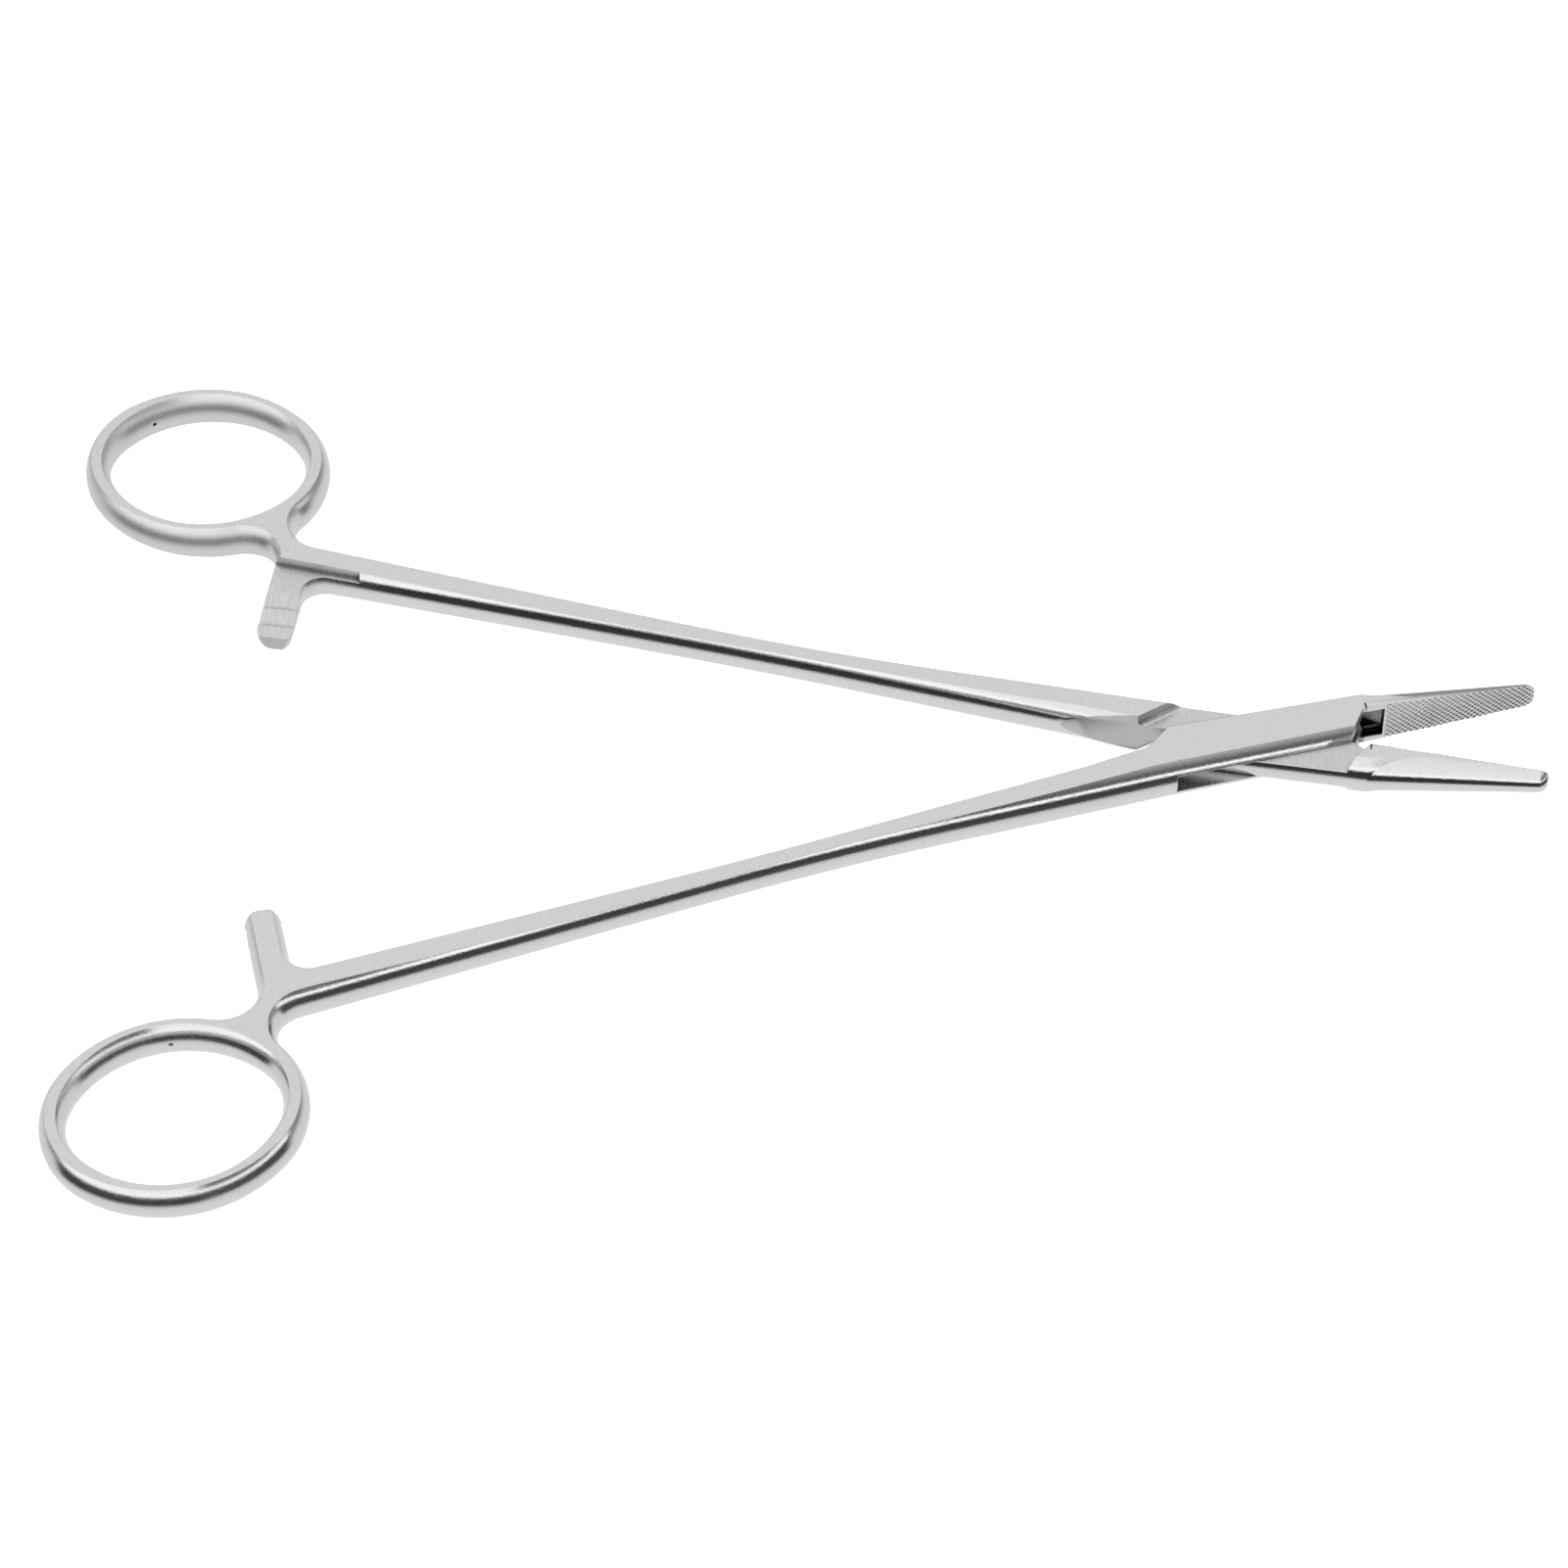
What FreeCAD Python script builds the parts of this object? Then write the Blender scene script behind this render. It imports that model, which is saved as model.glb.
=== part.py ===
"""Needle holder with box lock, ring handles and ratchets, 180 mm long, in millimetres.

Frame: X runs from the pivot to the jaw tips, Z is the pivot axis, and Z = 0 is the surface
that the flat underside of the box lies on. Each arm is drawn closed, with its ring on the
positive Y side, in its own middle plane. The box arm is the mirror image of the tongue arm
outside the lock. The arms are then turned apart by half the opening angle.
"""
import FreeCAD, Part
import math
import os
import Sketcher
from FreeCAD import Placement, Rotation, Vector

SIZES = [
    ("opening_angle", 21.8, "angle between the jaw faces as drawn"),
    ("pivot_to_tip", 35.5, "pivot axis to the end of the jaws"),
    ("ring_station", 130.0, "pivot axis to the middle of a ring, along X"),
    ("ring_spread", 25.6, "closing plane to the middle of a ring"),
    ("ring_length", 30.1, "outside of a ring, along the arm"),
    ("ring_width", 25.5, "outside of a ring, across the arm"),
    ("ring_end_radius", 11.2, "outer radius of the two ends of a ring"),
    ("ring_wall_end", 3.0, "wall of a ring at its ends"),
    ("ring_wall_side", 2.5, "wall of a ring at its sides"),
    ("ring_thickness", 5.0, "ring, ratchet and web, top to underside"),
    ("belly_radius", 4.0, "rounding of the sides, top to underside"),
    ("waist_thickness", 3.74, "thinnest place of a shank"),
    ("waist_station", 66.0, "pivot axis to the thinnest place"),
    ("ring_end_of_shank", 112.0, "pivot axis to where the shank reaches ring thickness"),
    ("box_end_of_shank", 12.0, "pivot axis to where the shank reaches box thickness"),
    ("box_thickness", 6.0, "box lock, top to underside"),
    ("outer_slope", 0.1197, "outer edge of the shank near the ring, Y over X"),
    ("outer_knee_station", 49.0, "where the outer edge turns along the box"),
    ("outer_knee_spread", 5.96, "outer edge at its knee"),
    ("outer_knee_radius", 400.0, "rounding of that knee"),
    ("box_rear_station", 9.5, "widest place of the box"),
    ("box_rear_spread", 4.14, "outer edge at the widest place"),
    ("box_rear_radius", 100.0, "rounding of the outer edge there"),
    ("box_front_station", 14.8, "front of the box, where the jaw starts"),
    ("box_front_spread", 3.5, "outer edge at the front of the box"),
    ("box_far_spread", 3.85, "side of the box past the closing plane"),
    ("tongue_far_spread", 3.3, "side of the tongue past the closing plane"),
    ("far_rear_station", 11.0, "rear corner of those sides"),
    ("inner_slope", 0.09, "inner edge of the shank near the ring, Y over X"),
    ("inner_knee_station", 59.6, "where the inner edge turns"),
    ("inner_knee_spread", 4.57, "inner edge at its knee"),
    ("inner_knee_radius", 900.0, "rounding of that knee"),
    ("inner_foot_station", 19.5, "where the inner edge meets the closing plane"),
    ("inner_end_station", 13.5, "end of the inner edge behind the box"),
    ("inner_end_spread", 1.0, "inner edge there, past the closing plane"),
    ("web_outer_radius", 4.0, "fillet between ring and outer edge"),
    ("web_ring_radius", 4.0, "fillet between ring and ratchet bar"),
    ("web_bar_radius", 2.4, "fillet between ratchet bar and shank"),
    ("bar_station", 116.15, "pivot axis to the middle of a ratchet bar"),
    ("bar_width", 4.3, "ratchet bar along X"),
    ("bar_corner_radius", 0.15, "corners at the free end of a bar, at its upper edge"),
    ("lower_bar_reach", 0.6, "bar of the tongue arm past the closing plane"),
    ("upper_bar_reach", 0.4, "bar of the box arm past the closing plane"),
    ("tooth_pitch", 2.43, "from one ratchet tooth to the next"),
    ("tooth_count", 3, "teeth on a bar"),
    ("tooth_height", 0.6, "steep side of a tooth"),
    ("tooth_rise", 0.4, "each tooth above the one nearer the free end"),
    ("tooth_steep_run", 0.1, "steep side of a tooth along Y"),
    ("tooth_start", 1.4, "closing plane to the crest nearest the free end"),
    ("tooth_plane", 0.4, "that crest above the middle plane"),
    ("tooth_clearance", 0.1, "between the crests of the two bars"),
    ("neck_station", 107.5, "end of the milled neck of a bar, towards the box"),
    ("neck_spread", 9.75, "edge of the milled neck there"),
    ("neck_slope", 0.09, "edge of the milled neck, Y over X"),
    ("closing_gap", 0.25, "shanks behind the box, from the closing plane"),
    ("face_gap", 0.03, "jaw face from the closing plane when closed"),
    ("slot_height", 2.6, "slot through the box"),
    ("slot_clearance", 0.05, "tongue in the slot, above and below"),
    ("slot_rear", 9.2, "pivot axis to the rear wall of the slot"),
    ("lock_gap", 0.3, "running gap of tongue and slot ends when closed"),
    ("shoulder_gap", 0.75, "cheeks to the rear shoulder of the tongue when closed"),
    ("shoulder_fillet", 0.65, "concave foot of the rear shoulder"),
    ("shoulder_foot", 12.9, "rear shoulder on the closing plane, from the pivot"),
    ("shoulder_angle", 39.3, "rear shoulder to the closing plane"),
    ("cheek_corner_radius", 1.2, "rounding where the cheeks leave the closing plane"),
    ("front_foot", 14.6, "front shoulder on the closing plane, from the pivot"),
    ("front_angle", 54.6, "front shoulder to the closing plane"),
    ("tongue_corner", 8.5, "pivot axis to where the tongue narrows to the jaw"),
    ("throat_front", 17.0, "pivot axis to the end of the slot in the jaw face"),
    ("throat_depth", 0.9, "slot behind the jaw face at that end"),
    ("pin_radius", 1.75, "pivot pin"),
    ("pin_clearance", 0.03, "pin in the tongue's bore"),
    ("jaw_root_width", 3.55, "jaw at the box, from its face to its back"),
    ("jaw_tip_width", 1.25, "jaw at its end"),
    ("jaw_tip_thickness", 3.5, "jaw face at its end, top to underside"),
    ("jaw_flat_end", 21.0, "pivot axis to where the flat top of a jaw runs out"),
    ("jaw_flat_end_width", 0.2, "flat top of a jaw at its end"),
    ("jaw_tip_radius", 0.8, "rounded end of a jaw"),
    ("serration_margin", 0.3, "end of the throat to the first serrations"),
    ("serration_pitch", 0.7, "cross serrations, groove to groove"),
    ("serration_depth", 0.22, "cross serrations"),
    ("serration_angle", 45.0, "serrations to the length of the jaw"),
    ("serration_land", 0.1, "flat left between two grooves"),
]

os.makedirs("parts", exist_ok=True)
doc = FreeCAD.newDocument("needle_holder")
sheet = doc.addObject("Spreadsheet::Sheet", "sizes")
for row, (alias, value, note) in enumerate(SIZES, 1):
    sheet.set("A%d" % row, alias)
    sheet.set("B%d" % row, str(value))
    sheet.set("C%d" % row, note)
    sheet.setAlias("B%d" % row, alias)
doc.recompute()


def size(alias):
    return float(sheet.get(alias))


# Flat geometry: an outline is a list of pieces, each a line (start, end) or an arc
# (centre, radius, start, end, turn), where turn is +1 anticlockwise and -1 clockwise.

def direction(start, end):
    return (end - start).normalize()


def right_of(way):
    return Vector(way.y, -way.x, 0)


def crossing(point_a, way_a, point_b, way_b):
    across = way_a.x * way_b.y - way_a.y * way_b.x
    gap = point_b - point_a
    return point_a + way_a * ((gap.x * way_b.y - gap.y * way_b.x) / across)


def inset_corners(corners, insets):
    """Corners of an open path whose sides each move to their right by their own inset."""
    sides = []
    for start, end, inset in zip(corners, corners[1:], insets):
        way = direction(start, end)
        sides.append((start + right_of(way) * inset, way))
    moved = [sides[0][0]]
    for (point_a, way_a), (point_b, way_b) in zip(sides, sides[1:]):
        moved.append(crossing(point_a, way_a, point_b, way_b))
    point, way = sides[-1]
    moved.append(point + way * (corners[-1] - corners[-2]).Length)
    return moved


def rounded_path(corners, radii):
    """Lines through the corners of an open path, each inner corner rounded by its radius."""
    pieces = []
    start = corners[0]
    for before, corner, after, radius in zip(corners, corners[1:], corners[2:], radii):
        way_in, way_out = direction(before, corner), direction(corner, after)
        turn = way_in.x * way_out.y - way_in.y * way_out.x
        if radius <= 0:
            pieces.append((start, corner))
            start = corner
            continue
        run = radius * math.tan(way_in.getAngle(way_out) / 2)
        arc_start, arc_end = corner - way_in * run, corner + way_out * run
        sign = 1 if turn > 0 else -1
        centre = arc_start - right_of(way_in) * radius * sign
        pieces.append((start, arc_start))
        pieces.append((centre, radius, arc_start, arc_end, sign))
        start = arc_end
    pieces.append((start, corners[-1]))
    return pieces


def circle_to_line(centre, radius, point, way, fillet, forward):
    """Centre of a fillet outside a circle and to the left of a line."""
    base = point - right_of(way) * fillet
    along = (centre - base).dot(way)
    off = (centre - base - way * along).Length
    reach = math.sqrt((radius + fillet) ** 2 - off ** 2)
    return base + way * (along + reach * forward)


def oval_arcs(centre, half_length, half_width, end_radius):
    """Side radius and the centres of the four arcs of an oval: right, upper, left, lower."""
    end_shift = half_length - end_radius
    side_radius = ((end_shift ** 2 + half_width ** 2 - end_radius ** 2)
                   / (2 * (half_width - end_radius)))
    side_shift = side_radius - half_width
    centres = [centre + Vector(end_shift, 0, 0), centre - Vector(0, side_shift, 0),
               centre - Vector(end_shift, 0, 0), centre + Vector(0, side_shift, 0)]
    joint = math.atan2(side_shift, end_shift)
    return side_radius, centres, joint


def oval_pieces(centre, half_length, half_width, end_radius):
    side_radius, centres, joint = oval_arcs(centre, half_length, half_width, end_radius)
    angles = [-joint, joint, math.pi - joint, math.pi + joint, 2 * math.pi - joint]
    pieces = []
    for number, middle in enumerate(centres):
        radius = side_radius if number % 2 else end_radius
        ends = [middle + Vector(math.cos(a), math.sin(a), 0) * radius
                for a in (angles[number], angles[number + 1])]
        pieces.append((middle, radius, ends[0], ends[1], 1))
    return pieces


def draw(sketch, pieces, hand=1):
    """Adds pieces to a sketch, mirrored across the closing plane where hand is -1."""
    def placed(point):
        return Vector(point.x, point.y * hand, 0)

    for piece in pieces:
        if len(piece) == 2:
            sketch.addGeometry(Part.LineSegment(placed(piece[0]), placed(piece[1])))
            continue
        centre, radius, start, end, turn = piece
        if turn * hand < 0:
            start, end = end, start
        centre, start, end = placed(centre), placed(start), placed(end)
        first = math.atan2(start.y - centre.y, start.x - centre.x)
        last = math.atan2(end.y - centre.y, end.x - centre.x)
        if last <= first:
            last += 2 * math.pi
        circle = Part.Circle(centre, Vector(0, 0, 1), radius)
        sketch.addGeometry(Part.ArcOfCircle(circle, first, last))


def polygon(points):
    corners = [Vector(x, y, 0) for x, y in points]
    return list(zip(corners, corners[1:] + corners[:1]))


# Outline of an arm's blank

HALF_BOX = size("box_thickness") / 2
BELLY = size("belly_radius") - math.sqrt(size("belly_radius") ** 2 - HALF_BOX ** 2)
SERRATION_START = size("throat_front") + size("serration_margin")
ALL = 8.0


def blank_pieces(far_spread, reach):
    """Rim of a blank at its upper edge, from the front of the box round the ring and back."""
    outer_knee = Vector(-size("outer_knee_station"), size("outer_knee_spread"), 0)
    inner_knee = Vector(-size("inner_knee_station"), size("inner_knee_spread"), 0)
    beyond_ring = size("ring_station")
    bar_right = -size("bar_station") + size("bar_width") / 2
    bar_left = -size("bar_station") - size("bar_width") / 2
    front = size("box_front_station")
    ring_side = outer_knee + Vector(-1, size("outer_slope"), 0) * (beyond_ring + outer_knee.x)
    web_corner = inner_knee + Vector(-1, size("inner_slope"), 0) * (inner_knee.x - bar_right)
    face, flat_end = -size("face_gap"), size("jaw_flat_end")
    flat_face = face - size("serration_depth") - size("face_gap")
    flat_back = flat_face - size("jaw_flat_end_width") - BELLY
    corners = [
        ring_side,
        outer_knee,
        Vector(-size("box_rear_station"), size("box_rear_spread"), 0),
        Vector(front, size("box_front_spread"), 0),
        Vector(front, flat_face, 0),
        Vector(flat_end, flat_face, 0),
        Vector(flat_end, flat_back, 0),
        Vector(front, -size("jaw_root_width"), 0),
        Vector(-size("far_rear_station"), -far_spread, 0),
        Vector(-size("inner_end_station"), -size("inner_end_spread"), 0),
        Vector(-size("inner_foot_station"), 0, 0),
        inner_knee,
        web_corner,
        Vector(bar_right, -reach, 0),
        Vector(bar_left, -reach, 0),
        Vector(bar_left, size("ring_spread") / 2, 0),
    ]
    insets = [BELLY] * 3 + [0] * 3 + [BELLY] * (len(corners) - 7)
    bar_corner = size("bar_corner_radius")
    radii = [size("outer_knee_radius"), size("box_rear_radius"), 0, 0, 0, 0, BELLY, BELLY / 2,
             BELLY * 2, BELLY * 4, size("inner_knee_radius"), size("web_bar_radius") + BELLY,
             bar_corner, bar_corner]
    pieces = rounded_path(inset_corners(corners, insets), radii)

    ring_middle = Vector(-size("ring_station"), size("ring_spread"), 0)
    end_radius = size("ring_end_radius") - BELLY
    side_radius, centres, joint = oval_arcs(ring_middle, size("ring_length") / 2 - BELLY,
                                            size("ring_width") / 2 - BELLY, end_radius)
    ring = oval_pieces(ring_middle, size("ring_length") / 2 - BELLY,
                       size("ring_width") / 2 - BELLY, end_radius)

    start, end = pieces[0]
    fillet = size("web_outer_radius") + BELLY
    outer_centre = circle_to_line(centres[0], end_radius, start, direction(start, end), fillet, 1)
    on_ring = centres[0] + direction(centres[0], outer_centre) * end_radius
    on_edge = outer_centre + right_of(direction(start, end)) * fillet
    pieces[0] = (on_edge, end)
    outer_fillet = (outer_centre, fillet, on_ring, on_edge, 1)
    ring_right = (centres[0], end_radius, ring[0][3], on_ring, -1)

    start, end = pieces[-1]
    fillet = size("web_ring_radius") + BELLY
    inner_centre = circle_to_line(centres[3], side_radius, start, direction(start, end), fillet, -1)
    on_bar = inner_centre + right_of(direction(start, end)) * fillet
    on_side = centres[3] + direction(centres[3], inner_centre) * side_radius
    pieces[-1] = (start, on_bar)
    inner_fillet = (inner_centre, fillet, on_bar, on_side, 1)
    ring_lower = (centres[3], side_radius, on_side, ring[3][2], -1)

    turned = [(c, r, last, first, -1) for c, r, first, last, sign in (ring[2], ring[1])]
    loop = ([outer_fillet] + pieces + [inner_fillet, ring_lower] + turned + [ring_right])
    first_flat = next(n for n, piece in enumerate(loop) if len(piece) == 2
                      and abs(piece[0].x - front) < 1e-6 and abs(piece[1].x - front) < 1e-6)
    return loop[first_flat:] + loop[:first_flat]


# Bodies, sketches and features

def new_body(label):
    body = doc.addObject("PartDesign::Body", label)
    body.Label = label
    return body


def new_sketch(body, name, role, offset=0.0, tilt=0.0):
    plane = next(feature for feature in body.Origin.OriginFeatures if feature.Role == role)
    sketch = body.newObject("Sketcher::SketchObject", name)
    sketch.AttachmentSupport = (plane, [""])
    sketch.MapMode = "FlatFace"
    sketch.AttachmentOffset = Placement(Vector(0, 0, offset), Rotation(Vector(1, 0, 0), tilt))
    return sketch


def cut_through(body, name, pieces, hand, role="XY_Plane", offset=0.0, tilt=0.0):
    sketch = new_sketch(body, name + "_outline", role, offset, tilt)
    draw(sketch, pieces, hand)
    pocket = body.newObject("PartDesign::Pocket", name)
    pocket.Profile = sketch
    pocket.Type = "ThroughAll"
    pocket.Midplane = True
    return pocket


def cut_beyond(body, name, pieces, hand, height, side):
    """Cuts everything above (side 1) or below (side -1) a height inside an outline."""
    sketch = new_sketch(body, name + "_outline", "XY_Plane", height)
    draw(sketch, pieces, hand)
    pocket = body.newObject("PartDesign::Pocket", name)
    pocket.Profile = sketch
    pocket.Type = "ThroughAll"
    pocket.Reversed = side > 0
    return pocket


def add_belly(body, name, pieces, hand, role, offset, spread, side):
    """Sweeps the rounded side, a circular segment, along an outline of the blank."""
    path = new_sketch(body, name + "_path", "XY_Plane")
    draw(path, pieces, hand)
    section = new_sketch(body, name + "_section", role, offset)
    top, low = Vector(spread, HALF_BOX, 0), Vector(spread, -HALF_BOX, 0)
    section.addGeometry(Part.LineSegment(low, top))
    section.addGeometry(Part.Arc(top, Vector(spread + BELLY * side, 0, 0), low))
    pipe = body.newObject("PartDesign::AdditivePipe", name)
    pipe.Profile = section
    pipe.Spine = (path, [])
    pipe.Mode = "Binormal"
    pipe.Binormal = Vector(0, 0, 1)
    return pipe


# Jaws

def jaw_circle(width, height):
    """Radius and middle of the circle whose segment behind the face is width by height."""
    radius = (height ** 2 + width ** 2) / (2 * width)
    return radius, radius - width


def add_jaw(body, name, start, end, hand):
    """Piece of the tapering half-round bar that a jaw is made of."""
    root, tip = size("box_front_station"), size("pivot_to_tip")
    root_radius, root_middle = jaw_circle(size("jaw_root_width"), HALF_BOX)
    tip_radius, tip_middle = jaw_circle(size("jaw_tip_width"), size("jaw_tip_thickness") / 2)
    axis_start = Vector(root, root_middle * hand, 0)
    axis_end = Vector(tip, tip_middle * hand, 0)
    way = direction(axis_start, axis_end)
    outward = right_of(way) * hand

    def rim(station):
        part = (station - root) / (tip - root)
        middle = axis_start + (axis_end - axis_start) * part
        return middle, middle + outward * (root_radius + (tip_radius - root_radius) * part)

    (middle_a, rim_a), (middle_b, rim_b) = rim(start), rim(end)
    sketch = new_sketch(body, name + "_profile", "XY_Plane")
    for first, last in ((middle_a, middle_b), (middle_b, rim_b), (rim_b, rim_a),
                        (rim_a, middle_a)):
        sketch.addGeometry(Part.LineSegment(first, last))
    sketch.addGeometry(Part.LineSegment(middle_a, middle_b), True)
    bar = body.newObject("PartDesign::Revolution", name)
    bar.Profile = sketch
    bar.ReferenceAxis = (sketch, ["Axis0"])
    bar.Angle = 360
    face = -size("face_gap")
    beyond = [(start - 1, face), (end + 1, face), (end + 1, ALL), (start - 1, ALL)]
    cut_through(body, name + "_face", polygon(beyond), hand)


def serrate(body, name, hand, tilt):
    """One set of parallel V grooves across the jaw face."""
    start, tip = SERRATION_START, size("pivot_to_tip")
    middle = (start + tip) / 2
    pitch, land = size("serration_pitch"), size("serration_land")
    slant = math.radians(size("serration_angle"))
    reach = (tip - start) / 2 * math.sin(slant) + HALF_BOX * math.cos(slant)
    count = int(reach / pitch) + 1
    surface, depth = -size("face_gap"), size("serration_depth")
    peak = surface + depth * land / (pitch - land)
    points = [(1.0, -(count + 0.5) * pitch), (peak, -(count + 0.5) * pitch)]
    for number in range(-count, count + 1):
        points.append((surface - depth, number * pitch))
        points.append((peak, (number + 0.5) * pitch))
    points.append((1.0, (count + 0.5) * pitch))
    points = [(y * hand, v) for y, v in points]
    return cut_through(body, name, polygon(points), 1, "YZ_Plane", middle, tilt)


def corner_piece(end, edge, radius, side):
    """What is cut away where a corner at (end, edge) is rounded, side being its outer way."""
    inner = edge - radius * side
    centre = Vector(end - radius, inner, 0)
    on_end, on_edge = Vector(end, inner, 0), Vector(end - radius, edge, 0)
    outer = [on_edge, Vector(end - radius, edge + side, 0), Vector(end + 1, edge + side, 0),
             Vector(end + 1, inner, 0), on_end]
    return list(zip(outer, outer[1:])) + [(centre, radius, on_end, on_edge, side)]


def make_serrated_jaw(name, hand):
    """Front of a jaw, from the throat to the tip, with its cross serrations."""
    body = new_body(name)
    start, tip = SERRATION_START, size("pivot_to_tip")
    add_jaw(body, "jaw", start, tip, hand)
    radius = size("jaw_tip_radius")
    back = corner_piece(tip, -size("jaw_tip_width"), radius, -1)
    cut_through(body, "jaw_tip_back", back, hand)
    for side in (1, -1):
        edge = corner_piece(tip, size("jaw_tip_thickness") / 2 * side, radius, side)
        cut_through(body, "jaw_tip_edge", edge, 1, "XZ_Plane")
    for number, turn in enumerate((1, -1), 1):
        serrate(body, "serrations_%d" % number, hand, size("serration_angle") * turn)
    return body


def join_jaw(body, jaw):
    joined = body.newObject("PartDesign::Boolean", "jaw_joined")
    joined.setObjects([jaw])
    joined.Type = "Fuse"
    joined.Refine = True


# Blank with rounded sides, tapered shank and ring

def make_blank(body, hand, far_spread, reach):
    pieces = blank_pieces(far_spread, reach)
    plan = new_sketch(body, "plan", "XY_Plane")
    draw(plan, pieces, hand)
    pad = body.newObject("PartDesign::Pad", "blank")
    pad.Profile = plan
    pad.Midplane = True
    pad.setExpression("Length", "sizes.box_thickness")
    end = pieces[-1][1]
    add_belly(body, "rim", pieces[3:], hand, "YZ_Plane", end.x, end.y * hand, hand)

    middle = Vector(-size("ring_station"), size("ring_spread"), 0)
    half_length = size("ring_length") / 2 - size("ring_wall_end") + BELLY
    half_width = size("ring_width") / 2 - size("ring_wall_side") + BELLY
    end_radius = size("ring_end_radius") - size("ring_wall_end") + BELLY
    hole = oval_pieces(middle, half_length, half_width, end_radius)
    cut_through(body, "ring_hole", hole, hand)
    centre, radius, first, last, turn = hole[0]
    east = centre + Vector(radius, 0, 0)
    hole = [(centre, radius, east, last, 1)] + hole[1:] + [(centre, radius, first, east, 1)]
    add_belly(body, "ring_lining", hole, hand, "XZ_Plane", -east.y * hand, east.x, -1)

    root, tip = size("box_front_station"), size("pivot_to_tip")
    tip_half = size("jaw_tip_thickness") / 2
    ring_half, waist_half = size("ring_thickness") / 2, size("waist_thickness") / 2
    far_end = -size("ring_station") - size("ring_length")
    sketch = new_sketch(body, "taper_outline", "XZ_Plane")
    for side in (1, -1):
        ring_edge = Vector(-size("ring_end_of_shank"), ring_half * side, 0)
        waist = Vector(-size("waist_station"), waist_half * side, 0)
        box_edge = Vector(-size("box_end_of_shank"), HALF_BOX * side, 0)
        corners = [box_edge, Vector(root, box_edge.y, 0), Vector(tip, tip_half * side, 0),
                   Vector(tip, ALL * side, 0), Vector(far_end, ALL * side, 0),
                   Vector(far_end, ring_edge.y, 0), ring_edge]
        for start, finish in zip(corners, corners[1:]):
            sketch.addGeometry(Part.LineSegment(start, finish))
        sketch.addGeometry(Part.Arc(ring_edge, waist, box_edge))
    pocket = body.newObject("PartDesign::Pocket", "taper")
    pocket.Profile = sketch
    pocket.Type = "ThroughAll"
    pocket.Midplane = True


def rear_line(gap):
    """Foot and direction of the rear shoulder, moved towards the pivot by a gap."""
    slant = math.radians(size("shoulder_angle"))
    way = Vector(math.cos(slant), math.sin(slant), 0)
    return Vector(-size("shoulder_foot"), 0, 0) + right_of(way) * gap, way


def front_line(gap):
    """Foot and direction of the front shoulder, moved towards the pivot by a gap."""
    slant = math.radians(size("front_angle"))
    way = Vector(-math.cos(slant), -math.sin(slant), 0)
    return Vector(size("front_foot"), 0, 0) + right_of(way) * gap, way


def at_height(line, height):
    foot, way = line
    return foot + way * ((height - foot.y) / way.y)


def closed_loop(corners, radii):
    """Closed outline whose inner corners are rounded, closed by a straight line."""
    pieces = rounded_path(corners, radii)
    return pieces + [(pieces[-1][1], corners[0])]


def make_teeth(body, hand, side):
    """Ratchet teeth and milled neck, on top of a bar (side 1) or under it (side -1)."""
    count = int(size("tooth_count"))
    shift = 0.0 if side > 0 else 2 * size("tooth_plane") + size("tooth_clearance")
    heights = [size("tooth_plane") + size("tooth_rise") * n for n in range(count)]
    crests = [size("tooth_start") + size("tooth_pitch") * n for n in range(count)]
    heights = [shift + height * side for height in heights]
    neck = heights[-1]
    points = [(crests[-1], ALL * side), (crests[-1], neck)]
    for n in range(count - 2, -1, -1):
        points.append((crests[n] + size("tooth_steep_run"),
                       heights[n] - size("tooth_height") * side))
        points.append((crests[n], heights[n]))
    slope = (heights[0] - size("tooth_height") * side
             - heights[0]) / (size("tooth_pitch") - size("tooth_steep_run"))
    free_end = -ALL
    points.append((free_end, heights[0] + slope * (crests[0] - free_end)))
    points.append((free_end, ALL * side))
    left = -size("bar_station") - size("bar_width")
    sketch = new_sketch(body, "teeth_outline", "YZ_Plane", -size("bar_station"))
    draw(sketch, polygon([(y * hand, z) for y, z in points]))
    pocket = body.newObject("PartDesign::Pocket", "teeth")
    pocket.Profile = sketch
    pocket.Midplane = True
    pocket.setExpression("Length", "2 * sizes.bar_width")

    right = -size("neck_station")
    rise = size("neck_slope") * (right - left)
    corners = [(right, crests[-1] - 0.01), (right, size("neck_spread")),
               (left, size("neck_spread") + rise), (left, crests[-1] - 0.01)]
    cut_beyond(body, "neck", polygon(corners), hand, neck, side)


def cut_bore(body, name, radius, expression):
    sketch = new_sketch(body, name + "_outline", "XY_Plane")
    circle = Part.Circle(Vector(0, 0, 0), Vector(0, 0, 1), radius)
    number = sketch.addGeometry(circle)
    sketch.addConstraint(Sketcher.Constraint("Coincident", number, 3, -1, 1))
    radius_number = sketch.addConstraint(Sketcher.Constraint("Radius", number, radius))
    sketch.setExpression("Constraints[%d]" % radius_number, expression)
    pocket = body.newObject("PartDesign::Pocket", name)
    pocket.Profile = sketch
    pocket.Type = "ThroughAll"
    pocket.Midplane = True


# Tongue arm: shoulders, tongue and upward ratchet

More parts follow.
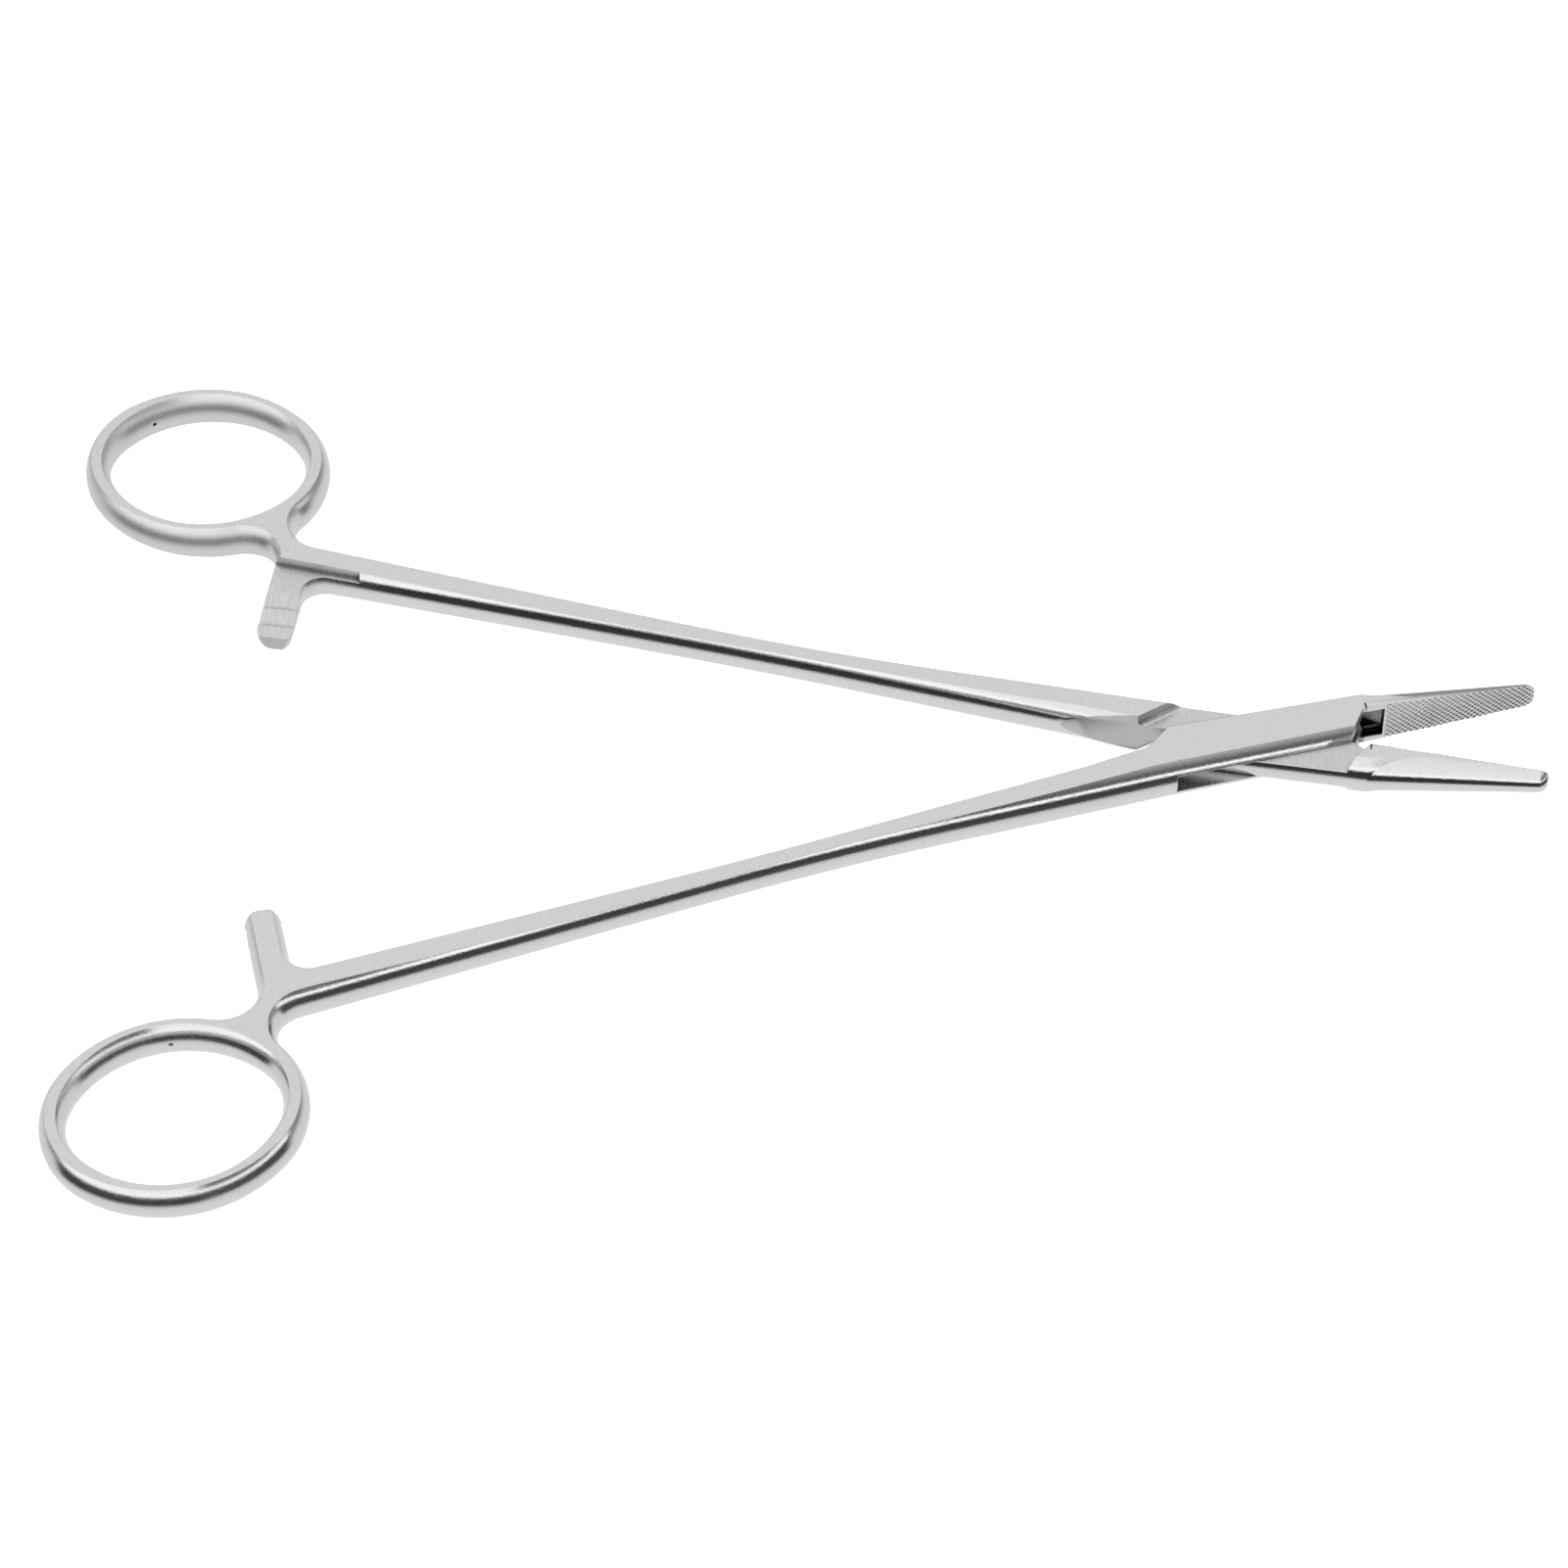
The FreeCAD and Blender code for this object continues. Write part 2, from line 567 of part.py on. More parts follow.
def make_tongue_arm():
    body = new_body("tongue_arm")
    add_jaw(body, "jaw_root", size("box_front_station") - 0.2, SERRATION_START, 1)
    make_blank(body, 1, size("tongue_far_spread"), size("lower_bar_reach"))
    gap, face = size("closing_gap"), -size("face_gap")
    swing = size("slot_rear") - size("lock_gap")
    arc_start = Vector(-math.sqrt(swing ** 2 - gap ** 2), gap, 0)
    arc_end = Vector(-math.sqrt(swing ** 2 - HALF_BOX ** 2 * 4), -HALF_BOX * 2, 0)
    back = -size("inner_foot_station") - ALL
    inner = [(Vector(back, gap, 0), arc_start),
             (Vector(0, 0, 0), swing, arc_start, arc_end, 1),
             (arc_end, Vector(back, arc_end.y, 0)),
             (Vector(back, arc_end.y, 0), Vector(back, gap, 0))]
    cut_through(body, "inner_side", inner, 1)

    front = size("box_front_station")
    corner = Vector(size("tongue_corner"), size("box_rear_spread"), 0)
    tip = Vector(front, face, 0)
    top = corner + (corner - tip) * 0.5
    nose = [(tip.x, tip.y), (front + 1, face), (front + 1, top.y), (top.x, top.y)]
    cut_through(body, "tongue_nose", polygon(nose), 1)

    rear, fore = rear_line(0), front_line(0)
    low, high = -ALL, ALL
    region = [at_height(rear, gap - 1), at_height(rear, high), Vector(front + 1, high, 0),
              Vector(front + 1, face, 0), at_height(fore, face), at_height(fore, low),
              Vector(-size("shoulder_foot"), low, 0)]
    region = [(point.x, point.y) for point in region]
    tongue_half = size("slot_height") / 2 - size("slot_clearance")
    for side in (1, -1):
        cut_beyond(body, "shoulders", polygon(region), 1, tongue_half * side, side)
    make_teeth(body, 1, 1)
    cut_bore(body, "bore", size("pin_radius") + size("pin_clearance"),
             "sizes.pin_radius + sizes.pin_clearance")
    join_jaw(body, make_serrated_jaw("tongue_jaw", 1))
    return body


# Box arm: slot between two cheeks, throat in the jaw and downward ratchet

def make_box_arm():
    body = new_body("box_arm")
    add_jaw(body, "jaw_root", size("box_front_station") - 0.2, SERRATION_START, -1)
    make_blank(body, -1, size("box_far_spread"), size("upper_bar_reach"))
    gap, face = size("closing_gap"), -size("face_gap")
    back = -size("inner_foot_station") - ALL
    foot, way = rear_line(size("shoulder_gap"))
    edge = (Vector(foot.x, -foot.y, 0), Vector(way.x, -way.y, 0))
    corners = [Vector(back, gap, 0), at_height(edge, gap), at_height(edge, -ALL),
               Vector(back, -ALL, 0)]
    radii = [size("cheek_corner_radius"), 0]
    cut_through(body, "cheek_rear", closed_loop(corners, radii), -1)

    foot, way = front_line(size("lock_gap"))
    edge = (Vector(foot.x, -foot.y, 0), Vector(way.x, -way.y, 0))
    front = size("box_front_station")
    corners = [at_height(edge, face), at_height(edge, ALL), Vector(front + 1, ALL, 0),
               Vector(front + 1, face, 0)]
    cut_through(body, "cheek_front", polygon([(p.x, p.y) for p in corners]), -1)

    rear = -size("slot_rear")
    behind = rear - size("shoulder_foot")
    throat, depth = size("throat_front"), -size("throat_depth")
    wall = Vector(size("tongue_corner") + 4 * size("lock_gap"), -size("box_far_spread"), 0)
    exit_point = wall + (wall - Vector(throat, depth, 0)) * 0.5
    slot = [(rear, ALL), (rear, gap), (behind, gap), (behind, exit_point.y),
            (exit_point.x, exit_point.y), (throat, depth), (throat, ALL)]
    sketch = new_sketch(body, "slot_outline", "XY_Plane")
    draw(sketch, polygon(slot), -1)
    pocket = body.newObject("PartDesign::Pocket", "slot")
    pocket.Profile = sketch
    pocket.Midplane = True
    pocket.setExpression("Length", "sizes.slot_height")
    make_teeth(body, -1, -1)
    cut_bore(body, "bore", size("pin_radius"), "sizes.pin_radius")
    join_jaw(body, make_serrated_jaw("box_jaw", -1))
    return body


def make_pin():
    pin = doc.addObject("Part::Cylinder", "pivot_pin")
    pin.Label = "pivot_pin"
    pin.setExpression("Radius", "sizes.pin_radius")
    pin.setExpression("Height", "sizes.box_thickness")
    return pin


tongue_arm = make_tongue_arm()
box_arm = make_box_arm()
pivot_pin = make_pin()
half_opening = size("opening_angle") / 2
tongue_arm.Placement = Placement(Vector(0, 0, HALF_BOX), Rotation(Vector(0, 0, 1), -half_opening))
box_arm.Placement = Placement(Vector(0, 0, HALF_BOX), Rotation(Vector(0, 0, 1), half_opening))
doc.recompute()

for item in doc.Objects:
    if "Invalid" in item.State or "Error" in item.State:
        raise RuntimeError("%s was not built: %s" % (item.Name, item.State))
for node in (tongue_arm, box_arm, pivot_pin):
    shape = node.Shape
    if shape.isNull() or not shape.isValid() or len(shape.Solids) != 1:
        raise RuntimeError("%s is not one valid solid" % node.Label)
    shape.exportStep("parts/%s.step" % node.Label)
    box = shape.BoundBox
    print(node.Label, round(shape.Volume, 1), [round(value, 2) for value in (
        box.XMin, box.YMin, box.ZMin, box.XMax, box.YMax, box.ZMax)])
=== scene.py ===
"""Look of a box-lock needle holder: two forged stainless arms, a pivot pin and the studio.

Sizes are in millimetres and angles in degrees. X runs from the pivot to the jaw tips, Z is the
pivot axis and Z = 0 is the surface it lies on. Each arm is built closed, with its ring on the
positive Y side, mirrored for the box arm, and then turned by half the opening angle. A forging
and its jaw are two meshes that run into each other at the front of the box.
"""
import math

import bmesh
import bpy
from mathutils import Matrix, Vector


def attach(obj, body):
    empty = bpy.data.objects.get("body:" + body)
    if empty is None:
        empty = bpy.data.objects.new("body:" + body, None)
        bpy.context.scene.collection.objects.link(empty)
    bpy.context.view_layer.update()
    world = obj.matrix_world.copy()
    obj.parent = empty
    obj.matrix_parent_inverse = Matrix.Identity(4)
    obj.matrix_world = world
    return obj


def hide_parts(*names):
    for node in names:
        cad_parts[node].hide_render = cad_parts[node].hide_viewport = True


bl_info = {
    "name": "Needle holder",
    "version": (1, 0, 0),
    "blender": (4, 5, 0),
    "location": "3D View > Sidebar > Needle holder",
    "description": "Builds a stainless steel needle holder with box lock, ratchet and rings",
    "category": "Add Mesh",
}

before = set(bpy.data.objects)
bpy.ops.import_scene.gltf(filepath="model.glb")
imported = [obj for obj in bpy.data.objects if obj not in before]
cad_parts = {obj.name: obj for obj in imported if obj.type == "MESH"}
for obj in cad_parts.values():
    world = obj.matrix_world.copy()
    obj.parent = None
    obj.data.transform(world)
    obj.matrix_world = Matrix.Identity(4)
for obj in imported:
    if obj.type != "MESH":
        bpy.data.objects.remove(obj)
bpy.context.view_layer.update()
MM = 0.001

# How far the cutters run past what they cut: off the instrument, and along it at the box
REACH = 8.0
PAST = 1.0

# Longest pieces of a sampled line and arc, in millimetres, and the turn of an arc, in degrees.
# An arc of more than WIDE_ARC in radius is sampled like a line.
LINE_STEP = 1.5
ARC_STEP = 0.6
ARC_TURN = 5
WIDE_ARC = 80

# Pieces of the rounded corners that are cut into the lock
LOCK_ARC_PARTS = 16
CHEEK_ARC_PARTS = 10
SHOULDER_ARC_PARTS = 8

# Points nearer than MERGE millimetres are one, and so are pieces of an outline whose outward
# ways differ by less than SMOOTH. Edges of more than SHARP degrees show, and a face is a flat
# when its normal's upward share is past FLAT_NORMAL.
MERGE = 1e-4
SMOOTH = 0.02
SHARP = 24
FLAT_NORMAL = 0.97

# The finishes, as places in a piece's list of materials
FLAT, SIDE, MILLED, SERRATED = range(4)

# Pits in the finger rings, from the middle of the ring of the tongue arm (1) and box arm (-1)
PITS = {1: (-8.5, 7.2), -1: (1.1, -10.2)}


def linear(code):
    """Linear colour from an sRGB code such as 8c8f92."""
    values = [int(code[n:n + 2], 16) / 255 for n in (0, 2, 4)]
    return [v / 12.92 if v <= 0.04045 else ((v + 0.055) / 1.055) ** 2.4 for v in values] + [1.0]


def length(label, text, value):
    return bpy.props.FloatProperty(name=label, description=text + ", in millimetres",
                                   default=value, min=0.0, soft_max=1000.0)


def angle(label, text, value):
    return bpy.props.FloatProperty(name=label, description=text + ", in degrees", default=value,
                                   min=0.0, soft_max=90.0)


def ratio(label, text, value):
    return bpy.props.FloatProperty(name=label, description=text, default=value, min=0.0,
                                   soft_max=1.0)


def color(label, text, code):
    return bpy.props.FloatVectorProperty(name=label, description=text, default=linear(code),
                                         size=4, subtype="COLOR", min=0.0, max=1.0)


class HolderSizes(bpy.types.PropertyGroup):
    opening_angle: angle("Opening", "Between the jaw faces", 21.8)
    pivot_to_tip: length("Jaws", "Pivot axis to the end of the jaws", 35.5)
    ring_station: length("Ring station", "Pivot axis to the middle of a ring", 130.0)
    ring_spread: length("Ring spread", "Closing plane to the middle of a ring", 25.6)
    ring_length: length("Ring length", "Outside of a ring along the arm", 30.1)
    ring_width: length("Ring width", "Outside of a ring across the arm", 25.5)
    ring_end_radius: length("Ring end radius", "Outer radius of the ends of a ring", 11.2)
    ring_wall_end: length("Ring wall", "Wall of a ring at its ends", 3.0)
    ring_wall_side: length("Ring side wall", "Wall of a ring at its sides", 2.5)
    ring_thickness: length("Ring thickness", "Ring, web and bar, top to underside", 5.0)
    belly_radius: length("Side radius", "Rounding of the sides, top to underside", 4.0)
    waist_thickness: length("Waist", "Thinnest place of a shank", 3.74)
    waist_station: length("Waist station", "Pivot axis to the thinnest place", 66.0)
    ring_end_of_shank: length("Ring end", "Pivot axis to the end of the taper at the ring", 112.0)
    box_end_of_shank: length("Box end", "Pivot axis to the end of the taper at the box", 12.0)
    box_thickness: length("Box thickness", "Box lock, top to underside", 6.0)
    outer_slope: ratio("Outer slope", "Outer edge of the shank near the ring", 0.1197)
    outer_knee_station: length("Outer knee", "Where the outer edge turns", 49.0)
    outer_knee_spread: length("Outer knee spread", "Outer edge at its knee", 5.96)
    outer_knee_radius: length("Outer knee radius", "Rounding of that knee", 400.0)
    box_rear_station: length("Box rear", "Widest place of the box", 9.5)
    box_rear_spread: length("Box rear spread", "Outer edge at the widest place", 4.14)
    box_rear_radius: length("Box rear radius", "Rounding of the edge there", 100.0)
    box_front_station: length("Box front", "Front of the box, where the jaw starts", 14.8)
    box_front_spread: length("Box front spread", "Outer edge at the front", 3.5)
    box_far_spread: length("Box far side", "Side of the box past the closing plane", 3.85)
    tongue_far_spread: length("Tongue far side", "Side of the tongue past that plane", 3.3)
    far_rear_station: length("Far rear", "Rear corner of those sides", 11.0)
    inner_slope: ratio("Inner slope", "Inner edge of the shank near the ring", 0.09)
    inner_knee_station: length("Inner knee", "Where the inner edge turns", 59.6)
    inner_knee_spread: length("Inner knee spread", "Inner edge at its knee", 4.57)
    inner_knee_radius: length("Inner knee radius", "Rounding of that knee", 900.0)
    inner_foot_station: length("Inner foot", "Where the inner edge meets the closing plane", 19.5)
    inner_end_station: length("Inner end", "End of the inner edge behind the box", 13.5)
    inner_end_spread: length("Inner end spread", "Inner edge there, past the plane", 1.0)
    web_outer_radius: length("Web outer radius", "Fillet between ring and outer edge", 4.0)
    web_ring_radius: length("Web ring radius", "Fillet between ring and bar", 4.0)
    web_bar_radius: length("Web bar radius", "Fillet between bar and shank", 2.4)
    bar_station: length("Bar station", "Pivot axis to the middle of a ratchet bar", 116.15)
    bar_width: length("Bar width", "Ratchet bar along the arm", 4.3)
    bar_corner_radius: length("Bar corners", "Corners at the free end of a bar", 0.15)
    lower_bar_reach: length("Lower bar reach", "Tongue arm's bar past the closing plane", 0.6)
    upper_bar_reach: length("Upper bar reach", "Box arm's bar past the closing plane", 0.4)
    bar_end_face: length("Bar end", "Ground off the rounded end of a bar", 0.45)
    tooth_pitch: length("Tooth pitch", "From one ratchet tooth to the next", 2.43)
    tooth_count: bpy.props.IntProperty(name="Teeth", description="Teeth on a bar", default=3, min=1)
    tooth_height: length("Tooth height", "Steep side of a tooth", 0.6)
    tooth_rise: length("Tooth rise", "Each tooth above the one nearer the free end", 0.4)
    tooth_steep_run: length("Tooth steep run", "Steep side of a tooth across the arm", 0.1)
    tooth_start: length("Tooth start", "Closing plane to the crest nearest the end", 1.4)
    tooth_plane: length("Tooth plane", "That crest above the middle plane", 0.4)
    tooth_clearance: length("Tooth clearance", "Between the crests of the two bars", 0.1)
    neck_station: length("Neck station", "End of the milled neck towards the box", 107.5)
    neck_spread: length("Neck spread", "Edge of the milled neck there", 9.75)
    neck_slope: ratio("Neck slope", "Edge of the milled neck", 0.09)
    closing_gap: length("Closing gap", "Shanks behind the box from the closing plane", 0.25)
    face_gap: length("Face gap", "Jaw face from the closing plane", 0.03)
    slot_height: length("Slot height", "Slot through the box", 2.6)
    slot_clearance: length("Slot clearance", "Tongue in the slot, above and below", 0.05)
    slot_rear: length("Slot rear", "Pivot axis to the rear wall of the slot", 9.2)
    lock_gap: length("Lock gap", "Running gap of tongue and slot ends", 0.3)
    shoulder_gap: length("Shoulder gap", "Cheeks to the rear shoulder when closed", 0.75)
    shoulder_fillet: length("Shoulder fillet", "Concave foot of the rear shoulder", 0.65)
    shoulder_foot: length("Shoulder foot", "Rear shoulder on the closing plane", 12.9)
    shoulder_angle: angle("Shoulder angle", "Rear shoulder to the closing plane", 39.3)
    cheek_corner_radius: length("Cheek corner", "Rounding where the cheeks start", 1.2)
    front_foot: length("Front foot", "Front shoulder on the closing plane", 14.6)
    front_angle: angle("Front angle", "Front shoulder to the closing plane", 54.6)
    tongue_corner: length("Tongue corner", "Where the tongue narrows to the jaw", 8.5)
    throat_front: length("Throat front", "End of the slot in the jaw face", 17.0)
    throat_depth: length("Throat depth", "Slot behind the jaw face at that end", 0.9)
    throat_height: length("Throat height", "Hollow behind the front of the cheeks", 4.5)
    pit_radius: length("Pit", "Worn pits in the walls of the finger rings", 0.28)
    jaw_root_width: length("Jaw root", "Jaw at the box, face to back", 3.55)
    jaw_tip_width: length("Jaw tip", "Jaw at its end, face to back", 1.25)
    jaw_tip_thickness: length("Jaw tip height", "Jaw face at its end", 3.5)
    jaw_flat_end: length("Jaw flat end", "Where the flat top of a jaw runs out", 21.0)
    jaw_flat_end_width: length("Jaw flat width", "Flat top of a jaw at its end", 0.2)
    jaw_tip_radius: length("Jaw tip radius", "Rounded end of a jaw", 1.15)
    jaw_overlap: length("Jaw overlap", "Start of a jaw's mesh inside the box", 0.2)
    serration_margin: length("Serration margin", "End of the throat to the serrations", 0.3)
    serration_pitch: length("Serration pitch", "Groove to groove", 0.52)
    serration_depth: length("Serration depth", "Depth of the cross serrations", 0.11)
    serration_land: length("Serration land", "Flat left between two grooves", 0.12)


class HolderFinish(bpy.types.PropertyGroup):
    flat_color: color("Flats", "Satin ground top and underside", "d4d5d6")
    side_color: color("Sides", "Polished rounded sides", "e0e0e0")
    milled_color: color("Milled", "Lock, slot, teeth and throat", "cdcecf")
    serrated_color: color("Serrated", "Jaw faces", "e2e2e2")
    # Colour of the painted shade that occlusion mixes into the milled steel in its corners, slot
    # and throat. The dark is painted shade, not a stain on the steel.
    painted_shade_color: color("Stain", "Dark corners of the slot and the throat", "3a3430")
    paper_color: color("Paper", "White floor", "fdfdfd")
    flat_roughness: ratio("Flat roughness", "Satin ground top and underside", 0.24)
    side_roughness: ratio("Side roughness", "Polished rounded sides", 0.08)
    milled_roughness: ratio("Milled roughness", "Lock, slot, teeth and throat", 0.3)
    serrated_roughness: ratio("Serrated roughness", "Jaw faces", 0.2)
    roughness_spread: ratio("Roughness spread", "Between and on the grinding marks", 0.06)
    grain: ratio("Grain", "Depth of the grinding marks", 0.3)


# Outlines: a piece is a line (start, end) or an arc (centre, radius, start, end, turn)

def direction(start, end):
    return (end - start).normalized()


def right_of(way):
    return Vector((way.y, -way.x))


def crossing(point_a, way_a, point_b, way_b):
    """Where two lines meet."""
    across = way_a.x * way_b.y - way_a.y * way_b.x
    gap = point_b - point_a
    return point_a + way_a * ((gap.x * way_b.y - gap.y * way_b.x) / across)


def inset_corners(corners, insets):
    """Corners of an open outline after each side has moved to its right by its inset."""
    sides = []
    for start, end, inset in zip(corners, corners[1:], insets):
        way = direction(start, end)
        sides.append((start + right_of(way) * inset, way))
    moved = [sides[0][0]]
    for (point_a, way_a), (point_b, way_b) in zip(sides, sides[1:]):
        moved.append(crossing(point_a, way_a, point_b, way_b))
    point, way = sides[-1]
    moved.append(point + way * (corners[-1] - corners[-2]).length)
    return moved


def rounded_path(corners, radii):
    """Lines and arcs through the corners, each but the ends rounded by its radius."""
    pieces = []
    start = corners[0]
    for before, corner, after, radius in zip(corners, corners[1:], corners[2:], radii):
        if radius <= 0:
            pieces.append((start, corner))
            start = corner
            continue
        way_in, way_out = direction(before, corner), direction(corner, after)
        turn = way_in.x * way_out.y - way_in.y * way_out.x
        run = radius * math.tan(way_in.angle(way_out) / 2)
        arc_start, arc_end = corner - way_in * run, corner + way_out * run
        sign = 1 if turn > 0 else -1
        centre = arc_start - right_of(way_in) * radius * sign
        pieces.append((start, arc_start))
        pieces.append((centre, radius, arc_start, arc_end, sign))
        start = arc_end
    pieces.append((start, corners[-1]))
    return pieces


def circle_to_line(centre, radius, point, way, fillet, forward):
    """Centre of the fillet between a circle and a line, on its forward (1) or back (-1) side."""
    base = point - right_of(way) * fillet
    along = (centre - base).dot(way)
    off = (centre - base - way * along).length
    reach = math.sqrt((radius + fillet) ** 2 - off ** 2)
    return base + way * (along + reach * forward)


def oval_arcs(centre, half_length, half_width, end_radius):
    """Side radius, centres of the four arcs, and angle at which they meet."""
    end_shift = half_length - end_radius
    side_radius = ((end_shift ** 2 + half_width ** 2 - end_radius ** 2)
                   / (2 * (half_width - end_radius)))
    side_shift = side_radius - half_width
    shifts = [(end_shift, 0), (0, -side_shift), (-end_shift, 0), (0, side_shift)]
    centres = [centre + Vector(shift) for shift in shifts]
    return side_radius, centres, math.atan2(side_shift, end_shift)


def oval_pieces(centre, half_length, half_width, end_radius):
    side_radius, centres, joint = oval_arcs(centre, half_length, half_width, end_radius)
    angles = [-joint, joint, math.pi - joint, math.pi + joint, 2 * math.pi - joint]
    pieces = []
    for index, middle in enumerate(centres):
        radius = side_radius if index % 2 else end_radius
        ends = [middle + Vector((math.cos(a), math.sin(a))) * radius
                for a in angles[index:index + 2]]
        pieces.append((middle, radius, ends[0], ends[1], 1))
    return pieces


def belly_depth(s):
    half = s.box_thickness / 2
    return s.belly_radius - math.sqrt(s.belly_radius ** 2 - half ** 2)


def ring_middle(s):
    return Vector((-s.ring_station, s.ring_spread))


def hole_pieces(s):
    depth = belly_depth(s)
    return oval_pieces(ring_middle(s), s.ring_length / 2 - s.ring_wall_end + depth,
                       s.ring_width / 2 - s.ring_wall_side + depth,
                       s.ring_end_radius - s.ring_wall_end + depth)


def blank_pieces(s, far_spread, reach):
    """Rim of an arm at the height of the box; the first three lines have no rounded side."""
    depth = belly_depth(s)
    outer_knee = Vector((-s.outer_knee_station, s.outer_knee_spread))
    inner_knee = Vector((-s.inner_knee_station, s.inner_knee_spread))
    bar_right = -s.bar_station + s.bar_width / 2
    bar_left = -s.bar_station - s.bar_width / 2
    front, flat_end = s.box_front_station, s.jaw_flat_end
    ring_side = outer_knee + Vector((-1, s.outer_slope)) * (s.ring_station + outer_knee.x)
    web_corner = inner_knee + Vector((-1, s.inner_slope)) * (inner_knee.x - bar_right)
    flat_face = -2 * s.face_gap - s.serration_depth
    flat_back = flat_face - s.jaw_flat_end_width - depth
    corners = [
        ring_side,
        outer_knee,
        Vector((-s.box_rear_station, s.box_rear_spread)),
        Vector((front, s.box_front_spread)),
        Vector((front, flat_face)),
        Vector((flat_end, flat_face)),
        Vector((flat_end, flat_back)),
        Vector((front, -s.jaw_root_width)),
        Vector((-s.far_rear_station, -far_spread)),
        Vector((-s.inner_end_station, -s.inner_end_spread)),
        Vector((-s.inner_foot_station, 0)),
        inner_knee,
        web_corner,
        Vector((bar_right, -reach)),
        Vector((bar_left, -reach)),
        Vector((bar_left, s.ring_spread / 2)),
    ]
    insets = [depth] * 3 + [0] * 3 + [depth] * (len(corners) - 7)
    radii = [s.outer_knee_radius, s.box_rear_radius, 0, 0, 0, 0, depth, depth / 2, depth * 2,
             depth * 4, s.inner_knee_radius, s.web_bar_radius + depth, s.bar_corner_radius,
             s.bar_corner_radius]
    pieces = rounded_path(inset_corners(corners, insets), radii)

    end_radius = s.ring_end_radius - depth
    half_length, half_width = s.ring_length / 2 - depth, s.ring_width / 2 - depth
    side_radius, centres, _ = oval_arcs(ring_middle(s), half_length, half_width, end_radius)
    ring = oval_pieces(ring_middle(s), half_length, half_width, end_radius)

    start, end = pieces[0]
    fillet = s.web_outer_radius + depth
    outer_centre = circle_to_line(centres[0], end_radius, start, direction(start, end), fillet, 1)
    on_ring = centres[0] + direction(centres[0], outer_centre) * end_radius
    on_edge = outer_centre + right_of(direction(start, end)) * fillet
    pieces[0] = (on_edge, end)
    outer_fillet = (outer_centre, fillet, on_ring, on_edge, 1)
    ring_right = (centres[0], end_radius, ring[0][3], on_ring, -1)

    start, end = pieces[-1]
    fillet = s.web_ring_radius + depth
    inner_centre = circle_to_line(centres[3], side_radius, start, direction(start, end), fillet, -1)
    on_bar = inner_centre + right_of(direction(start, end)) * fillet
    on_side = centres[3] + direction(centres[3], inner_centre) * side_radius
    pieces[-1] = (start, on_bar)
    inner_fillet = (inner_centre, fillet, on_bar, on_side, 1)
    ring_lower = (centres[3], side_radius, on_side, ring[3][2], -1)

    turned = [(c, r, last, first, -1) for c, r, first, last, _ in (ring[2], ring[1])]
    loop = [outer_fillet] + pieces + [inner_fillet, ring_lower] + turned + [ring_right]
    first_flat = next(n for n, piece in enumerate(loop) if len(piece) == 2
                      and all(abs(end.x - front) < MERGE for end in piece))
    return loop[first_flat:] + loop[:first_flat]


def sample(pieces, bare=0):
    """Points (point, outward way, rounded) along a closed outline, corners met twice."""
    points = []
    for index, piece in enumerate(pieces):
        rounded = index >= bare
        if len(piece) == 2:
            start, end = piece
            if (end - start).length < MERGE:
                continue
            outward = -right_of(direction(start, end))
            count = max(1, math.ceil((end - start).length / LINE_STEP))
            row = [(start.lerp(end, n / count), outward, rounded) for n in range(count + 1)]
        else:
            centre, radius, start, end, turn = piece
            first, last = (start - centre), (end - centre)
            swing = math.atan2(first.x * last.y - first.y * last.x, first.dot(last))
            if swing * turn < -1e-9:
                swing += 2 * math.pi * turn
            arc = abs(swing) * (radius + 1.0)
            count = max(2, math.ceil(arc / ARC_STEP),
                        math.ceil(abs(swing) / math.radians(ARC_TURN)))
            if radius > WIDE_ARC:
                count = max(2, math.ceil(arc / LINE_STEP))
            row = []
            for n in range(count + 1):
                way = Matrix.Rotation(swing * n / count, 2) @ first.normalized()
                row.append((centre + way * radius, way * -turn, rounded))
        if points and rounded == points[-1][2] and (points[-1][1] - row[0][1]).length < SMOOTH:
            row = row[1:]
        points += row
    first, last = points[0], points[-1]
    if ((first[0] - last[0]).length < MERGE and (first[1] - last[1]).length < SMOOTH
            and first[2] == last[2]):
        points.pop()
    return points


# Heights of the top surface above the middle plane

def top_height(s, x):
    ring, waist, box = s.ring_thickness / 2, s.waist_thickness / 2, s.box_thickness / 2
    if x <= -s.ring_end_of_shank:
        return ring
    if x <= -s.box_end_of_shank:
        ax, bx, cx = -s.ring_end_of_shank, -s.waist_station, -s.box_end_of_shank
        low = ring * (x - bx) * (x - cx) / ((ax - bx) * (ax - cx))
        mid = waist * (x - ax) * (x - cx) / ((bx - ax) * (bx - cx))
        high = box * (x - ax) * (x - bx) / ((cx - ax) * (cx - bx))
        return low + mid + high
    if x <= s.box_front_station:
        return box
    part = (x - s.box_front_station) / (s.pivot_to_tip - s.box_front_station)
    return box + (s.jaw_tip_thickness / 2 - box) * part


# Mesh building

def add_wall(bm, s, points, steps=16):
    """Side of a blank along an outline; returns its top and bottom loops of vertices."""
    radius, half_box = s.belly_radius, s.box_thickness / 2
    base = math.sqrt(radius ** 2 - half_box ** 2)
    columns = []
    for point, outward, rounded in points:
        half = top_height(s, point.x)
        limit = math.asin(half / radius)
        column = []
        for step in range(steps + 1):
            turn = limit * (2 * step / steps - 1)
            place = point
            if rounded:
                place = point + outward * (radius * math.cos(turn) - base)
            column.append(bm.verts.new((place.x, place.y, radius * math.sin(turn))))
        columns.append(column)
    for left, right in zip(columns, columns[1:] + columns[:1]):
        for step in range(steps):
            bm.faces.new((left[step], right[step], right[step + 1], left[step + 1]))
    return [column[-1] for column in columns], [column[0] for column in columns]


def loop_edges(bm, loop):
    edges = []
    for first, last in zip(loop, loop[1:] + loop[:1]):
        edge = bm.edges.get((first, last))
        edges.append(edge or bm.edges.new((first, last)))
    return edges


